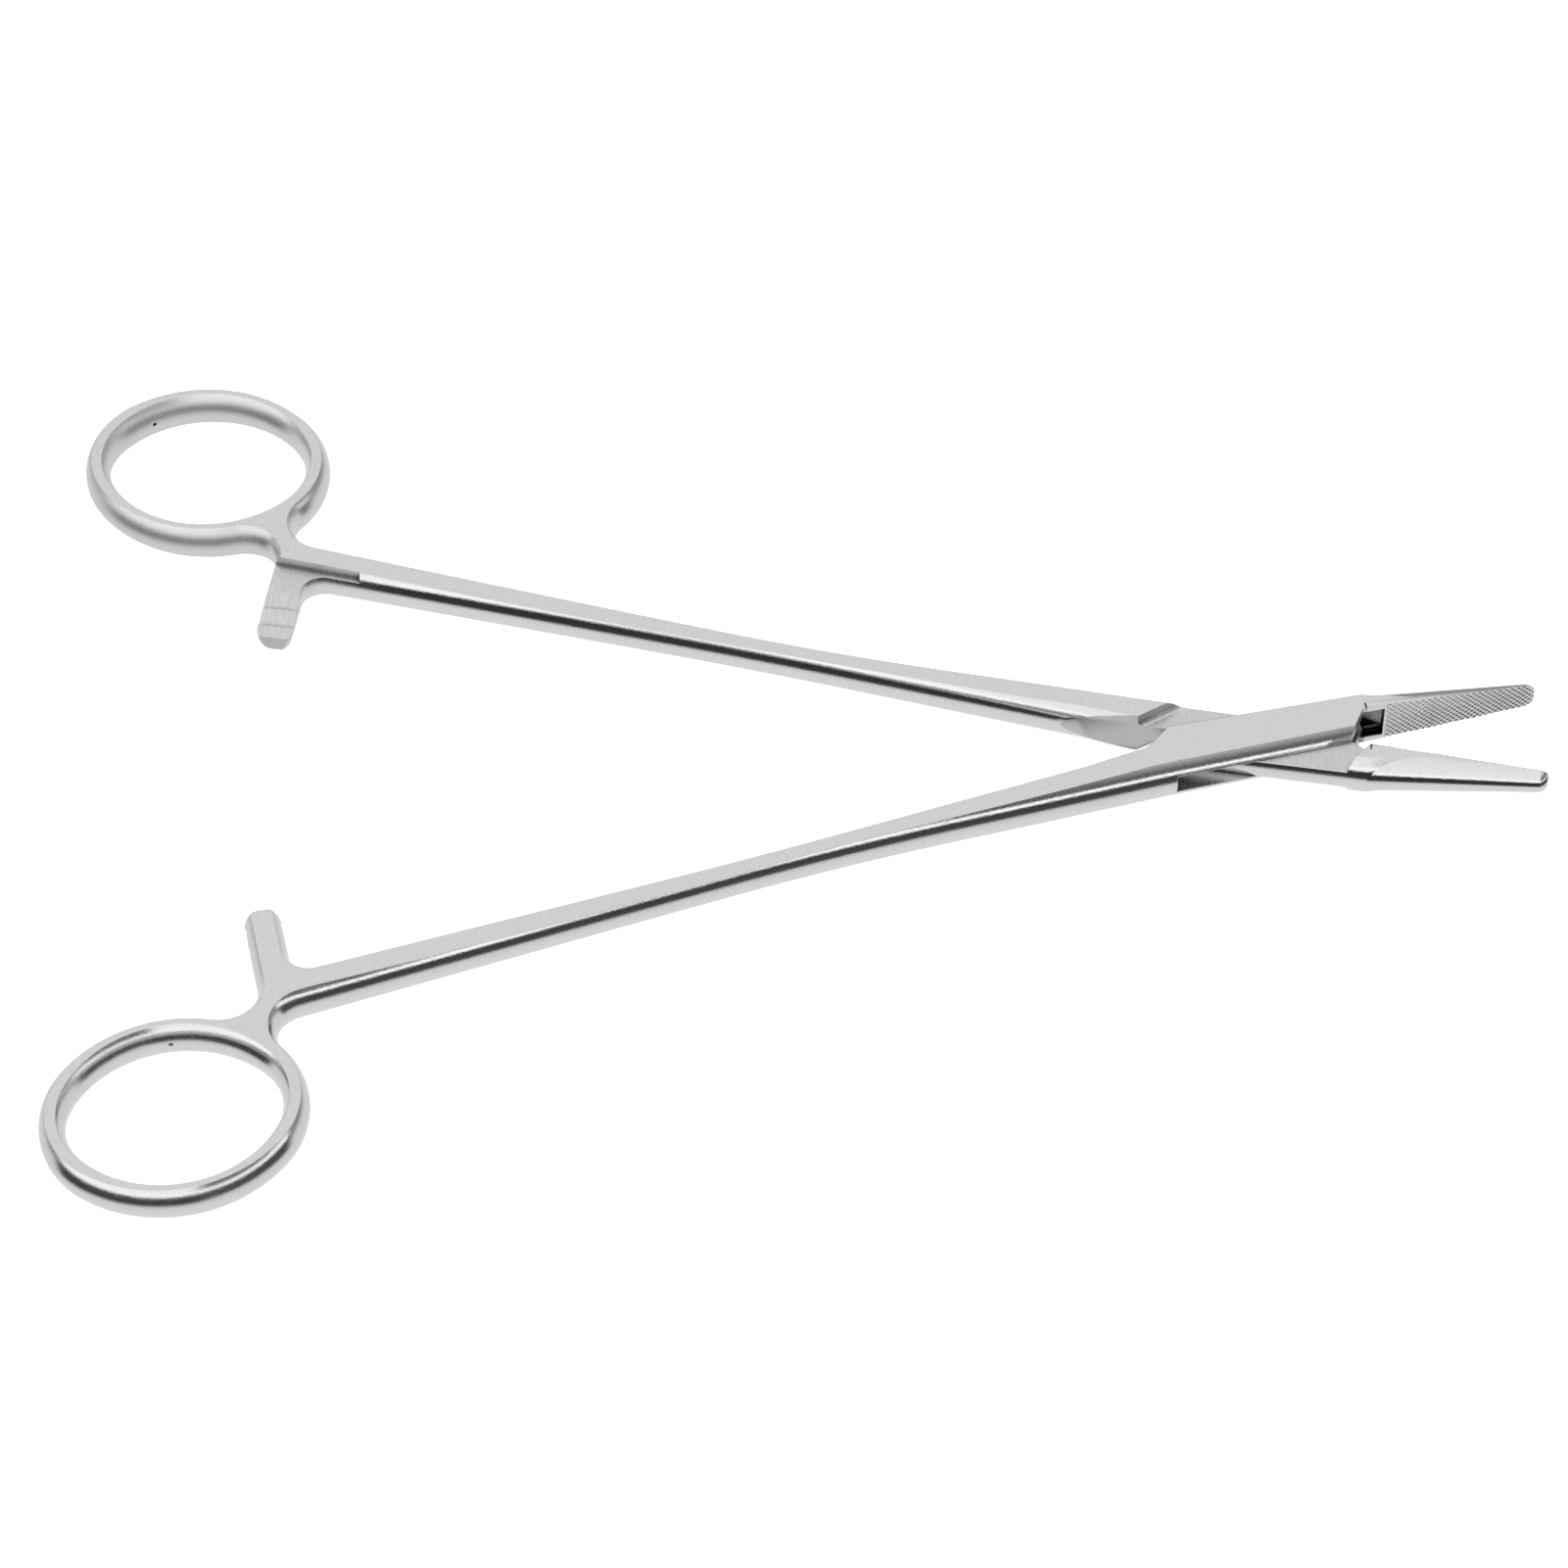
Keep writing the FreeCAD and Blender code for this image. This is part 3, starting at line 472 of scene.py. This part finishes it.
def blank_mesh(s, far_spread, reach):
    """Forging before it is milled, with the far side of its lock and the reach of its bar."""
    bm = bmesh.new()
    rims = [add_wall(bm, s, sample(blank_pieces(s, far_spread, reach), 3)),
            add_wall(bm, s, sample(hole_pieces(s)))]
    for side in (0, 1):
        edges = loop_edges(bm, rims[0][side]) + loop_edges(bm, rims[1][side])
        bmesh.ops.triangle_fill(bm, use_beauty=True, edges=edges)
    return bm


def prism(corners, low, high):
    """Closed solid over a flat outline. A cut can fail if its points come in another order."""
    bm = bmesh.new()
    lower = [bm.verts.new((x, y, low)) for x, y in corners]
    upper = [bm.verts.new((x, y, high)) for x, y in corners]
    bm.faces.new(lower)
    bm.faces.new(upper)
    for a, b, c, d in zip(lower, lower[1:] + lower[:1], upper[1:] + upper[:1], upper):
        bm.faces.new((a, b, c, d))
    return bm


def make_object(name, bm):
    bmesh.ops.recalc_face_normals(bm, faces=bm.faces)
    mesh = bpy.data.meshes.new(name)
    bm.to_mesh(mesh)
    bm.free()
    obj = bpy.data.objects.new(name, mesh)
    bpy.context.collection.objects.link(obj)
    return obj


def steel_object(name, bm):
    """Object with a place for each of the finishes, which are filled in at the end."""
    obj = make_object(name, bm)
    for _ in (FLAT, SIDE, MILLED, SERRATED):
        obj.data.materials.append(None)
    return obj


def cut(obj, *cutters):
    """Mills the closed meshes out of an object, one after the other."""
    for bm in cutters:
        for face in bm.faces:
            face.material_index = MILLED
        tool = steel_object("cutter", bm)
        modifier = obj.modifiers.new("cut", "BOOLEAN")
        modifier.operation = "DIFFERENCE"
        modifier.solver = "EXACT"
        modifier.object = tool
        bpy.context.view_layer.update()
        graph = bpy.context.evaluated_depsgraph_get()
        mesh = bpy.data.meshes.new_from_object(obj.evaluated_get(graph))
        obj.modifiers.clear()
        old = obj.data
        obj.data = mesh
        bpy.data.meshes.remove(old)
        bpy.data.meshes.remove(tool.data)


def finish(obj, s, hand, body, materials):
    """Turns an arm's piece to its rest pose, in metres, and gives it its finishes.

    The hand is 1 for the tongue arm and -1 for the box arm, which is mirrored across the
    closing plane. The fill of a flat can leave a loop open under the start of the jaw, which
    is closed here.
    """
    bm = bmesh.new()
    bm.from_mesh(obj.data)
    bmesh.ops.scale(bm, vec=(1, hand, 1), verts=bm.verts)
    bmesh.ops.remove_doubles(bm, verts=bm.verts, dist=MERGE)
    bmesh.ops.dissolve_degenerate(bm, edges=bm.edges, dist=MERGE)
    bmesh.ops.holes_fill(bm, edges=[edge for edge in bm.edges if edge.is_boundary])
    bmesh.ops.recalc_face_normals(bm, faces=bm.faces)
    turn = Matrix.Rotation(math.radians(-hand * s.opening_angle / 2), 4, "Z")
    lift = Matrix.Translation((0, 0, s.box_thickness / 2))
    bm.transform(Matrix.Scale(MM, 4) @ lift @ turn)
    for face in bm.faces:
        face.smooth = True
        if face.material_index < MILLED:
            face.material_index = FLAT if abs(face.normal.z) > FLAT_NORMAL else SIDE
    bm.to_mesh(obj.data)
    bm.free()
    obj.data.set_sharp_from_angle(angle=math.radians(SHARP))
    for surface, material in enumerate(materials):
        obj.data.materials[surface] = material
    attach(obj, body)


# Lock, ratchet and jaws

# Turns a profile drawn across the arm and upwards, and extruded along the arm, to its place
PROFILE_TO_BAR = Matrix(((0, 0, 1, 0), (1, 0, 0, 0), (0, 1, 0, 0), (0, 0, 0, 1)))
NECK_OVERLAP = 0.01


def rear_line(s, gap):
    """Rear shoulder as a foot on the closing plane and a direction, moved back by a gap."""
    slant = math.radians(s.shoulder_angle)
    way = Vector((math.cos(slant), math.sin(slant)))
    return Vector((-s.shoulder_foot, 0)) + right_of(way) * gap, way


def front_line(s, gap):
    """Front shoulder, given in the same way."""
    slant = math.radians(s.front_angle)
    way = Vector((-math.cos(slant), -math.sin(slant)))
    return Vector((s.front_foot, 0)) + right_of(way) * gap, way


def across_plane(line):
    """A shoulder's line mirrored across the closing plane."""
    foot, way = line
    return Vector((foot.x, -foot.y)), Vector((way.x, -way.y))


def at_height(line, height):
    """Where a shoulder's line is that far from the closing plane."""
    foot, way = line
    return foot + way * ((height - foot.y) / way.y)


def arc_points(centre, radius, first, last, count):
    return [(centre[0] + radius * math.cos(first + (last - first) * n / count),
             centre[1] + radius * math.sin(first + (last - first) * n / count))
            for n in range(count + 1)]


def tooth_cutters(s, side):
    """Saw teeth, squared end and milled neck, on top of a bar (1) or under it (-1)."""
    shift = 0.0 if side > 0 else 2 * s.tooth_plane + s.tooth_clearance
    heights = [shift + (s.tooth_plane + s.tooth_rise * n) * side for n in range(s.tooth_count)]
    crests = [s.tooth_start + s.tooth_pitch * n for n in range(s.tooth_count)]
    points = [(crests[-1], REACH * side), (crests[-1], heights[-1])]
    for n in range(s.tooth_count - 2, -1, -1):
        points.append((crests[n] + s.tooth_steep_run, heights[n] - s.tooth_height * side))
        points.append((crests[n], heights[n]))
    slope = s.tooth_height * side / (s.tooth_pitch - s.tooth_steep_run)
    points.append((-REACH, heights[0] - slope * (crests[0] + REACH)))
    points.append((-REACH, REACH * side))
    left, right = -s.bar_station - s.bar_width, -s.bar_station + s.bar_width
    teeth = prism(points, left, right)
    teeth.transform(PROFILE_TO_BAR)
    end = s.bar_end_face - (s.lower_bar_reach if side > 0 else s.upper_bar_reach)
    face = prism([(left, -REACH), (right, -REACH), (right, end), (left, end)], -REACH, REACH)
    right, start = -s.neck_station, crests[-1] - NECK_OVERLAP
    far = s.neck_spread + s.neck_slope * (right - left)
    neck = prism([(right, start), (right, s.neck_spread), (left, far), (left, start)],
                 *sorted((heights[-1], REACH * side)))
    return [teeth, face, neck]


def pit_cutter(s, hand):
    """Small pit that wear has left in the wall of a finger ring."""
    bm = bmesh.new()
    bmesh.ops.create_icosphere(bm, subdivisions=2, radius=s.pit_radius)
    place = ring_middle(s) + Vector(PITS[hand])
    bmesh.ops.translate(bm, vec=(place.x, place.y, 0), verts=bm.verts)
    return bm


def tongue_cutters(s):
    """Inner edge, nose and the steel above and below the tongue, drawn as the tongue lies."""
    gap, face = s.closing_gap, -s.face_gap
    swing = s.slot_rear - s.lock_gap
    back = -s.inner_foot_station - REACH
    first = math.pi - math.asin(gap / swing)
    last = math.pi + math.asin(s.box_thickness / swing)
    arc = arc_points((0, 0), swing, first, last, LOCK_ARC_PARTS)
    inner = [(back, gap)] + arc + [(back, arc[-1][1])]
    front = s.box_front_station
    corner, tip = Vector((s.tongue_corner, s.box_rear_spread)), Vector((front, face))
    top = corner + (corner - tip) * 0.5
    nose = [tuple(tip), (front + PAST, face), (front + PAST, top.y), tuple(top)]
    rear, fore = rear_line(s, 0), front_line(s, 0)
    region = [at_height(rear, gap - PAST), at_height(rear, REACH), (front + PAST, REACH),
              (front + PAST, face), at_height(fore, face), at_height(fore, -REACH),
              (-s.shoulder_foot, -REACH)]
    half = s.slot_height / 2 - s.slot_clearance
    upper, lower = prism(region, half, REACH), prism(region, -REACH, -half)
    for bm, height in ((upper, half), (lower, -half)):
        foot, way = rear
        edges = [edge for edge in bm.edges
                 if all(abs(v.co.z - height) < MERGE and
                        abs((v.co.xy - foot).dot(right_of(way))) < MERGE for v in edge.verts)]
        bmesh.ops.bevel(bm, geom=edges, offset=s.shoulder_fillet, offset_type="OFFSET",
                        segments=SHOULDER_ARC_PARTS, profile=0.5, affect="EDGES", material=-1)
    return [prism(inner, -REACH, REACH), prism(nose, -REACH, REACH), upper, lower]


def box_cutters(s):
    """Ends of the cheeks, slot and throat, drawn with the jaw on the negative Y side."""
    gap, face = s.closing_gap, -s.face_gap
    back = -s.inner_foot_station - REACH
    edge = across_plane(rear_line(s, s.shoulder_gap))
    path = rounded_path([Vector((back, gap)), at_height(edge, gap), at_height(edge, -REACH)],
                        [s.cheek_corner_radius])
    rear = []
    for piece in path:
        if len(piece) == 2:
            rear += [tuple(piece[0]), tuple(piece[1])]
            continue
        centre, radius, start, end, turn = piece
        first = math.atan2(start.y - centre.y, start.x - centre.x)
        swing = (end - centre).angle(start - centre) * turn
        rear += arc_points(centre, radius, first, first + swing, CHEEK_ARC_PARTS)[1:-1]
    rear.append((back, -REACH))
    edge = across_plane(front_line(s, s.lock_gap))
    front = s.box_front_station
    cheek_front = [at_height(edge, face), at_height(edge, REACH), (front + PAST, REACH),
                   (front + PAST, face)]
    behind = -s.slot_rear - s.shoulder_foot
    throat, depth = s.throat_front, -s.throat_depth
    wall = Vector((s.tongue_corner + 4 * s.lock_gap, -s.box_far_spread))
    leave = wall + (wall - Vector((throat, depth))) * 0.5
    slot = [(-s.slot_rear, REACH), (-s.slot_rear, gap), (behind, gap), (behind, leave.y),
            tuple(leave), (throat, depth), (throat, REACH)]
    hollow = [at_height(edge, depth), (throat, depth), (throat, PAST), at_height(edge, PAST)]
    return [prism(rear, -REACH, REACH), prism(cheek_front, -REACH, REACH),
            prism(slot, -s.slot_height / 2, s.slot_height / 2),
            prism(hollow, -s.throat_height / 2, s.throat_height / 2)]


def jaw_circle(width, height):
    """Radius of a jaw's round back, and its centre from the closing plane."""
    radius = (height ** 2 + width ** 2) / (2 * width)
    return radius, radius - width


def groove_depth(s, x, z):
    """Depth of the crossed V grooves at a point of a jaw face."""
    if x <= s.throat_front + s.serration_margin:
        return 0.0
    counts = [along / math.sqrt(2) / s.serration_pitch for along in (x + z, x - z)]
    away = min(abs(count - round(count)) for count in counts) * s.serration_pitch
    half = (s.serration_pitch - s.serration_land) / 2
    return max(0.0, 1 - away / half) * s.serration_depth


def jaw_section(s, x, columns, rows):
    """Points around a jaw: up its face in columns, then down its round back in rows."""
    root, end, face = s.box_front_station, s.jaw_tip_radius, -s.face_gap
    part = (x - root) / (s.pivot_to_tip - root)
    circles = (jaw_circle(s.jaw_root_width, s.box_thickness / 2),
               jaw_circle(s.jaw_tip_width, s.jaw_tip_thickness / 2))
    radius, middle = [first + (last - first) * part for first, last in zip(*circles)]
    over = max(0.0, x - (s.pivot_to_tip - end))
    loss = end - math.sqrt(max(0.0, end ** 2 - over ** 2))
    deep = radius - middle + face
    high = math.sqrt(radius ** 2 - (middle - face) ** 2)
    slim, low = (deep - loss) / deep, (high - loss) / high
    high = min(high, s.box_thickness / 2)
    points = []
    for n in range(columns + 1):
        z = high * low * (2 * n / columns - 1)
        points.append((x, face - groove_depth(s, x, z) * slim, z))
    open_angle = math.asin(min(1.0, high / radius))
    if middle < face:
        open_angle = math.pi - open_angle
    for n in range(1, rows):
        turn = open_angle * (1 - 2 * n / rows)
        y = middle - radius * math.cos(turn)
        z = max(-high, min(high, radius * math.sin(turn)))
        points.append((x, face + (y - face) * slim, z * low))
    return points


def jaw_mesh(s, step=0.09, columns=56, rows=48):
    """Half-round tapering jaw with a rounded end, fine enough along it for its grooves."""
    straight_end = s.pivot_to_tip - s.jaw_tip_radius
    stations = [s.box_front_station - s.jaw_overlap]
    while stations[-1] < straight_end:
        stations.append(min(stations[-1] + step, straight_end))
    stations += [straight_end + s.jaw_tip_radius * math.sin(math.radians(turn))
                 for turn in range(6, 85, 6)]
    bm = bmesh.new()
    loops = [[bm.verts.new(point) for point in jaw_section(s, x, columns, rows)]
             for x in stations]
    for left, right in zip(loops, loops[1:]):
        quads = zip(left, left[1:] + left[:1], right[1:] + right[:1], right)
        for index, quad in enumerate(quads):
            bm.faces.new(quad).material_index = SERRATED if index < columns else SIDE
    bm.faces.new(loops[0])
    bm.faces.new(loops[-1])
    return bm


# Finishes

def add_node(tree, kind, inputs=(), **settings):
    node = tree.nodes.new(kind)
    for name, value in settings.items():
        setattr(node, name, value)
    for name, value in dict(inputs).items():
        socket = node.inputs[name]
        if isinstance(value, bpy.types.NodeSocket):
            tree.links.new(value, socket)
        else:
            socket.default_value = value
    return node


def mixed(tree, factor, first, last):
    """Colour between two colours."""
    node = add_node(tree, "ShaderNodeMix", {"Factor": factor, 6: first, 7: last},
                    data_type="RGBA")
    return node.outputs[2]


def spread(tree, value, low, high, to_low=0.0, to_high=1.0):
    """Value stretched from one range to another, and held at its ends."""
    node = add_node(tree, "ShaderNodeMapRange", {"Value": value, "From Min": low,
                                                 "From Max": high, "To Min": to_low,
                                                 "To Max": to_high})
    return node.outputs["Result"]


# Where the polish of the shanks gives way to the worn polish of the rings, along the
# instrument, and where the box arm's ring, worn less, gives way to the tongue arm's
RING_START, RING_FULL = -98 * MM, -118 * MM
FAR_START, FAR_FULL = 0.0, 10 * MM
NEAR_SHARE = 0.35


def steel(f, name, color, roughness, mark, stretch, shade, grain, worn=0.0, hollow=0.0):
    """Stainless steel with grinding marks of mark millimetres.

    The marks darken the colour by shade. Worn is the roughness that use has added at the
    rings, and hollow how far, in metres, painted shade reaches out of corners and recesses.
    """
    material = bpy.data.materials.new(name)
    material.use_nodes = True
    tree = material.node_tree
    shader = tree.nodes["Principled BSDF"]
    shader.inputs["Metallic"].default_value = 1.0
    place = add_node(tree, "ShaderNodeTexCoord").outputs["Object"]
    mapped = add_node(tree, "ShaderNodeMapping", {"Vector": place, "Scale": stretch})
    marks = add_node(tree, "ShaderNodeTexNoise", {"Vector": mapped.outputs["Vector"],
                                                  "Scale": 1 / (mark * MM), "Detail": 4.0,
                                                  "Roughness": 0.6}).outputs["Fac"]
    split = add_node(tree, "ShaderNodeSeparateXYZ", {"Vector": place})
    rough = spread(tree, marks, 0.3, 0.7, roughness - f.roughness_spread,
                   roughness + f.roughness_spread)
    at_rings = spread(tree, split.outputs["X"], RING_START, RING_FULL, 0.0, worn)
    far = spread(tree, split.outputs["Y"], FAR_START, FAR_FULL, NEAR_SHARE)
    wear = add_node(tree, "ShaderNodeMath", {0: at_rings, 1: far}, operation="MULTIPLY")
    total = add_node(tree, "ShaderNodeMath", {0: rough, 1: wear.outputs["Value"]},
                     operation="ADD")
    edge = add_node(tree, "ShaderNodeBevel", {"Radius": 0.12 * MM}, samples=8)
    bump = add_node(tree, "ShaderNodeBump", {"Height": marks, "Strength": grain,
                                             "Distance": 0.02 * MM,
                                             "Normal": edge.outputs["Normal"]})
    dark = [channel * (1 - shade) for channel in color[:3]] + [1.0]
    tone = mixed(tree, spread(tree, marks, 0.35, 0.6), dark, color)
    # Painted shade: where ambient occlusion finds steel close by, in corners, creases, the slot and
    # the throat, the colour is mixed towards the dark shade colour
    if hollow:
        painted_shade_occlusion = add_node(tree, "ShaderNodeAmbientOcclusion", {"Distance": hollow}, samples=8)
        depth = spread(tree, painted_shade_occlusion.outputs["AO"], 0.35, 0.85)
        tone = mixed(tree, depth, f.painted_shade_color, tone)
    tree.links.new(tone, shader.inputs["Base Color"])
    tree.links.new(total.outputs["Value"], shader.inputs["Roughness"])
    tree.links.new(bump.outputs["Normal"], shader.inputs["Normal"])
    return material


# Real grinding marks are some hundredths of a millimetre wide. They are drawn at about 0.2 mm,
# because finer ones don't show in the render.

def satin_flats(f):
    """Stainless belt-ground to a satin: soft even grey, with the marks along the arm."""
    return steel(f, "satin ground stainless", f.flat_color, f.flat_roughness, 0.2,
                 (1.0, 0.5, 1.0), 0.07, f.grain)


def polished_sides(f):
    """Stainless polished on a wheel: near mirror with sharp bands, brushed at the rings."""
    return steel(f, "polished stainless", f.side_color, f.side_roughness, 0.1818,
                 (0.6, 1.0, 1.0), 0.08, f.grain * 1.6, worn=0.3)


def milled_lock(f):
    """Stainless as the cutter left it: duller, lines across, with painted shade in the corners."""
    return steel(f, "milled stainless", f.milled_color, f.milled_roughness, 0.2,
                 (1.0, 0.15, 0.15), 0.12, f.grain, hollow=1.2 * MM)


def serrated_faces(f):
    """Stainless with grooves cut both ways: bright, with marks of no direction."""
    return steel(f, "serrated stainless", f.serrated_color, f.serrated_roughness, 0.1667,
                 (1.0, 1.0, 1.0), 0.06, f.grain)


def finishes(context):
    """The four finishes in the order of their places, made once."""
    f = context.scene.needle_holder_finish
    makers = {"satin ground stainless": satin_flats, "polished stainless": polished_sides,
              "milled stainless": milled_lock, "serrated stainless": serrated_faces}
    return [bpy.data.materials.get(name) or make(f) for name, make in makers.items()]


# Brightness of the studio by the sine of the elevation, as polished steel mirrors it: behind
# the camera on the side of the rings and on the side of the jaws, where a dark screen stands
# over the low light, and beyond the instrument
LEFT_BANDS = ((-1.0, 0.9), (-0.66, 0.85), (-0.57, 0.5), (-0.5, 0.05), (-0.08, 0.03),
              (-0.04, 0.3), (0.0, 1.3), (0.15, 1.3), (0.25, 1.1), (1.0, 1.0))
RIGHT_BANDS = ((-1.0, 0.9), (-0.62, 0.8), (-0.53, 0.5), (-0.46, 0.08), (-0.08, 0.05),
               (-0.04, 0.3), (0.0, 1.4), (0.12, 1.4), (0.17, 0.12), (0.36, 0.15),
               (0.56, 0.36), (0.72, 0.75), (1.0, 0.95))
FAR_BANDS = ((-1.0, 0.85), (-0.3, 0.8), (-0.1, 0.3), (0.1, 0.3), (0.45, 0.45), (0.6, 0.9),
             (1.0, 0.95))

# Where those parts of the studio meet, as a direction's share along X and along Y
LEFT_TO_RIGHT = (0.24, 0.36)
NEAR_TO_FAR = (-0.12, 0.05)

# Camera that fits the outlines of both arms, in metres and degrees
CAMERA_PLACE = (-0.063921, -0.413043, 0.474064)
CAMERA_TURN = (40.9981, 0.4343, -1.8956)
CAMERA_LENS = 123.226
CAMERA_SENSOR = 36.0


def band_ramp(tree, height, bands):
    node = add_node(tree, "ShaderNodeValToRGB", {"Fac": height})
    ramp = node.color_ramp
    while len(ramp.elements) < len(bands):
        ramp.elements.new(0.5)
    for element, (sine, value) in zip(ramp.elements, bands):
        element.position = (sine + 1) / 2
        element.color = (value, value, value * 1.01, 1)
    return node.outputs["Color"]


def studio_world():
    """White for the camera and the floor, banded where the steel mirrors the room."""
    world = bpy.data.worlds.new("studio")
    world.use_nodes = True
    tree = world.node_tree
    place = add_node(tree, "ShaderNodeTexCoord").outputs["Generated"]
    split = add_node(tree, "ShaderNodeSeparateXYZ", {"Vector": place})
    height = spread(tree, split.outputs["Z"], -1.0, 1.0)
    left, right, far = [band_ramp(tree, height, bands)
                        for bands in (LEFT_BANDS, RIGHT_BANDS, FAR_BANDS)]
    near = mixed(tree, spread(tree, split.outputs["X"], *LEFT_TO_RIGHT), left, right)
    room = mixed(tree, spread(tree, split.outputs["Y"], *NEAR_TO_FAR), near, far)
    path = add_node(tree, "ShaderNodeLightPath")
    seen = mixed(tree, path.outputs["Is Glossy Ray"], (2.0, 2.0, 2.0, 1.0), room)
    tree.links.new(seen, tree.nodes["Background"].inputs["Color"])
    tree.nodes["Background"].inputs["Strength"].default_value = 1.0
    return world


class PieceOperator:
    bl_options = {"REGISTER", "UNDO"}


class AddTongueArm(PieceOperator, bpy.types.Operator):
    """Builds the arm whose tongue passes through the box"""
    bl_idname = "needle_holder.add_tongue_arm"
    bl_label = "Tongue arm"

    def execute(self, context):
        s = context.scene.needle_holder_sizes
        arm = steel_object("tongue_arm_forging",
                           blank_mesh(s, s.tongue_far_spread, s.lower_bar_reach))
        cut(arm, *tongue_cutters(s), *tooth_cutters(s, 1), pit_cutter(s, 1))
        finish(arm, s, 1, "tongue_side", finishes(context))
        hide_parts("tongue_arm")
        jaw = steel_object("tongue_arm_jaw", jaw_mesh(s))
        finish(jaw, s, 1, "tongue_side", finishes(context))
        return {"FINISHED"}


class AddBoxArm(PieceOperator, bpy.types.Operator):
    """Builds the arm with the slotted box and its two cheeks"""
    bl_idname = "needle_holder.add_box_arm"
    bl_label = "Box arm"

    def execute(self, context):
        s = context.scene.needle_holder_sizes
        arm = steel_object("box_arm_forging",
                           blank_mesh(s, s.box_far_spread, s.upper_bar_reach))
        cut(arm, *box_cutters(s), *tooth_cutters(s, -1), pit_cutter(s, -1))
        finish(arm, s, -1, "box_side", finishes(context))
        # The pin is ground flush with the cheeks, so the box arm stands for it too
        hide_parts("box_arm", "pivot_pin")
        jaw = steel_object("box_arm_jaw", jaw_mesh(s))
        cut(jaw, *box_cutters(s)[2:])
        finish(jaw, s, -1, "box_side", finishes(context))
        return {"FINISHED"}


class AddStudio(PieceOperator, bpy.types.Operator):
    """Builds the white floor, the room that lights and mirrors, and the camera"""
    bl_idname = "needle_holder.add_studio"
    bl_label = "Studio"

    def execute(self, context):
        scene = context.scene
        bm = bmesh.new()
        bmesh.ops.create_grid(bm, x_segments=1, y_segments=1, size=3.0)
        floor = make_object("studio_floor", bm)
        floor.location.z = -0.0001
        paper = bpy.data.materials.new("white paper floor")
        paper.use_nodes = True
        shader = paper.node_tree.nodes["Principled BSDF"]
        shader.inputs["Base Color"].default_value = scene.needle_holder_finish.paper_color
        shader.inputs["Roughness"].default_value = 0.9
        shader.inputs["Emission Color"].default_value = linear("ffffff")
        shader.inputs["Emission Strength"].default_value = 0.45
        floor.data.materials.append(paper)
        floor.visible_glossy = False

        scene.world = studio_world()

        camera_data = bpy.data.cameras.new("camera")
        camera_data.sensor_width = CAMERA_SENSOR
        camera_data.lens = CAMERA_LENS
        camera_data.clip_start = 0.01
        camera = bpy.data.objects.new("camera", camera_data)
        camera.location = CAMERA_PLACE
        camera.rotation_euler = [math.radians(turn) for turn in CAMERA_TURN]
        scene.collection.objects.link(camera)
        scene.camera = camera
        scene.view_settings.view_transform = "Standard"
        return {"FINISHED"}


class HolderPanel(bpy.types.Panel):
    """Sizes, finishes and builders of the needle holder"""
    bl_idname = "VIEW3D_PT_needle_holder"
    bl_label = "Needle holder"
    bl_space_type = "VIEW_3D"
    bl_region_type = "UI"
    bl_category = "Needle holder"

    def draw(self, context):
        for group in (context.scene.needle_holder_finish, context.scene.needle_holder_sizes):
            box = self.layout.box()
            for name in group.__annotations__:
                box.prop(group, name)
        for operator in (AddTongueArm, AddBoxArm, AddStudio):
            self.layout.operator(operator.bl_idname)


CLASSES = (HolderSizes, HolderFinish, AddTongueArm, AddBoxArm, AddStudio, HolderPanel)


def register():
    for item in CLASSES:
        bpy.utils.register_class(item)
    bpy.types.Scene.needle_holder_sizes = bpy.props.PointerProperty(type=HolderSizes)
    bpy.types.Scene.needle_holder_finish = bpy.props.PointerProperty(type=HolderFinish)


def unregister():
    del bpy.types.Scene.needle_holder_finish
    del bpy.types.Scene.needle_holder_sizes
    for item in reversed(CLASSES):
        bpy.utils.unregister_class(item)


def main():
    register()
    bpy.ops.needle_holder.add_tongue_arm()
    bpy.ops.needle_holder.add_box_arm()
    bpy.ops.needle_holder.add_studio()


if __name__ == "__main__":
    main()
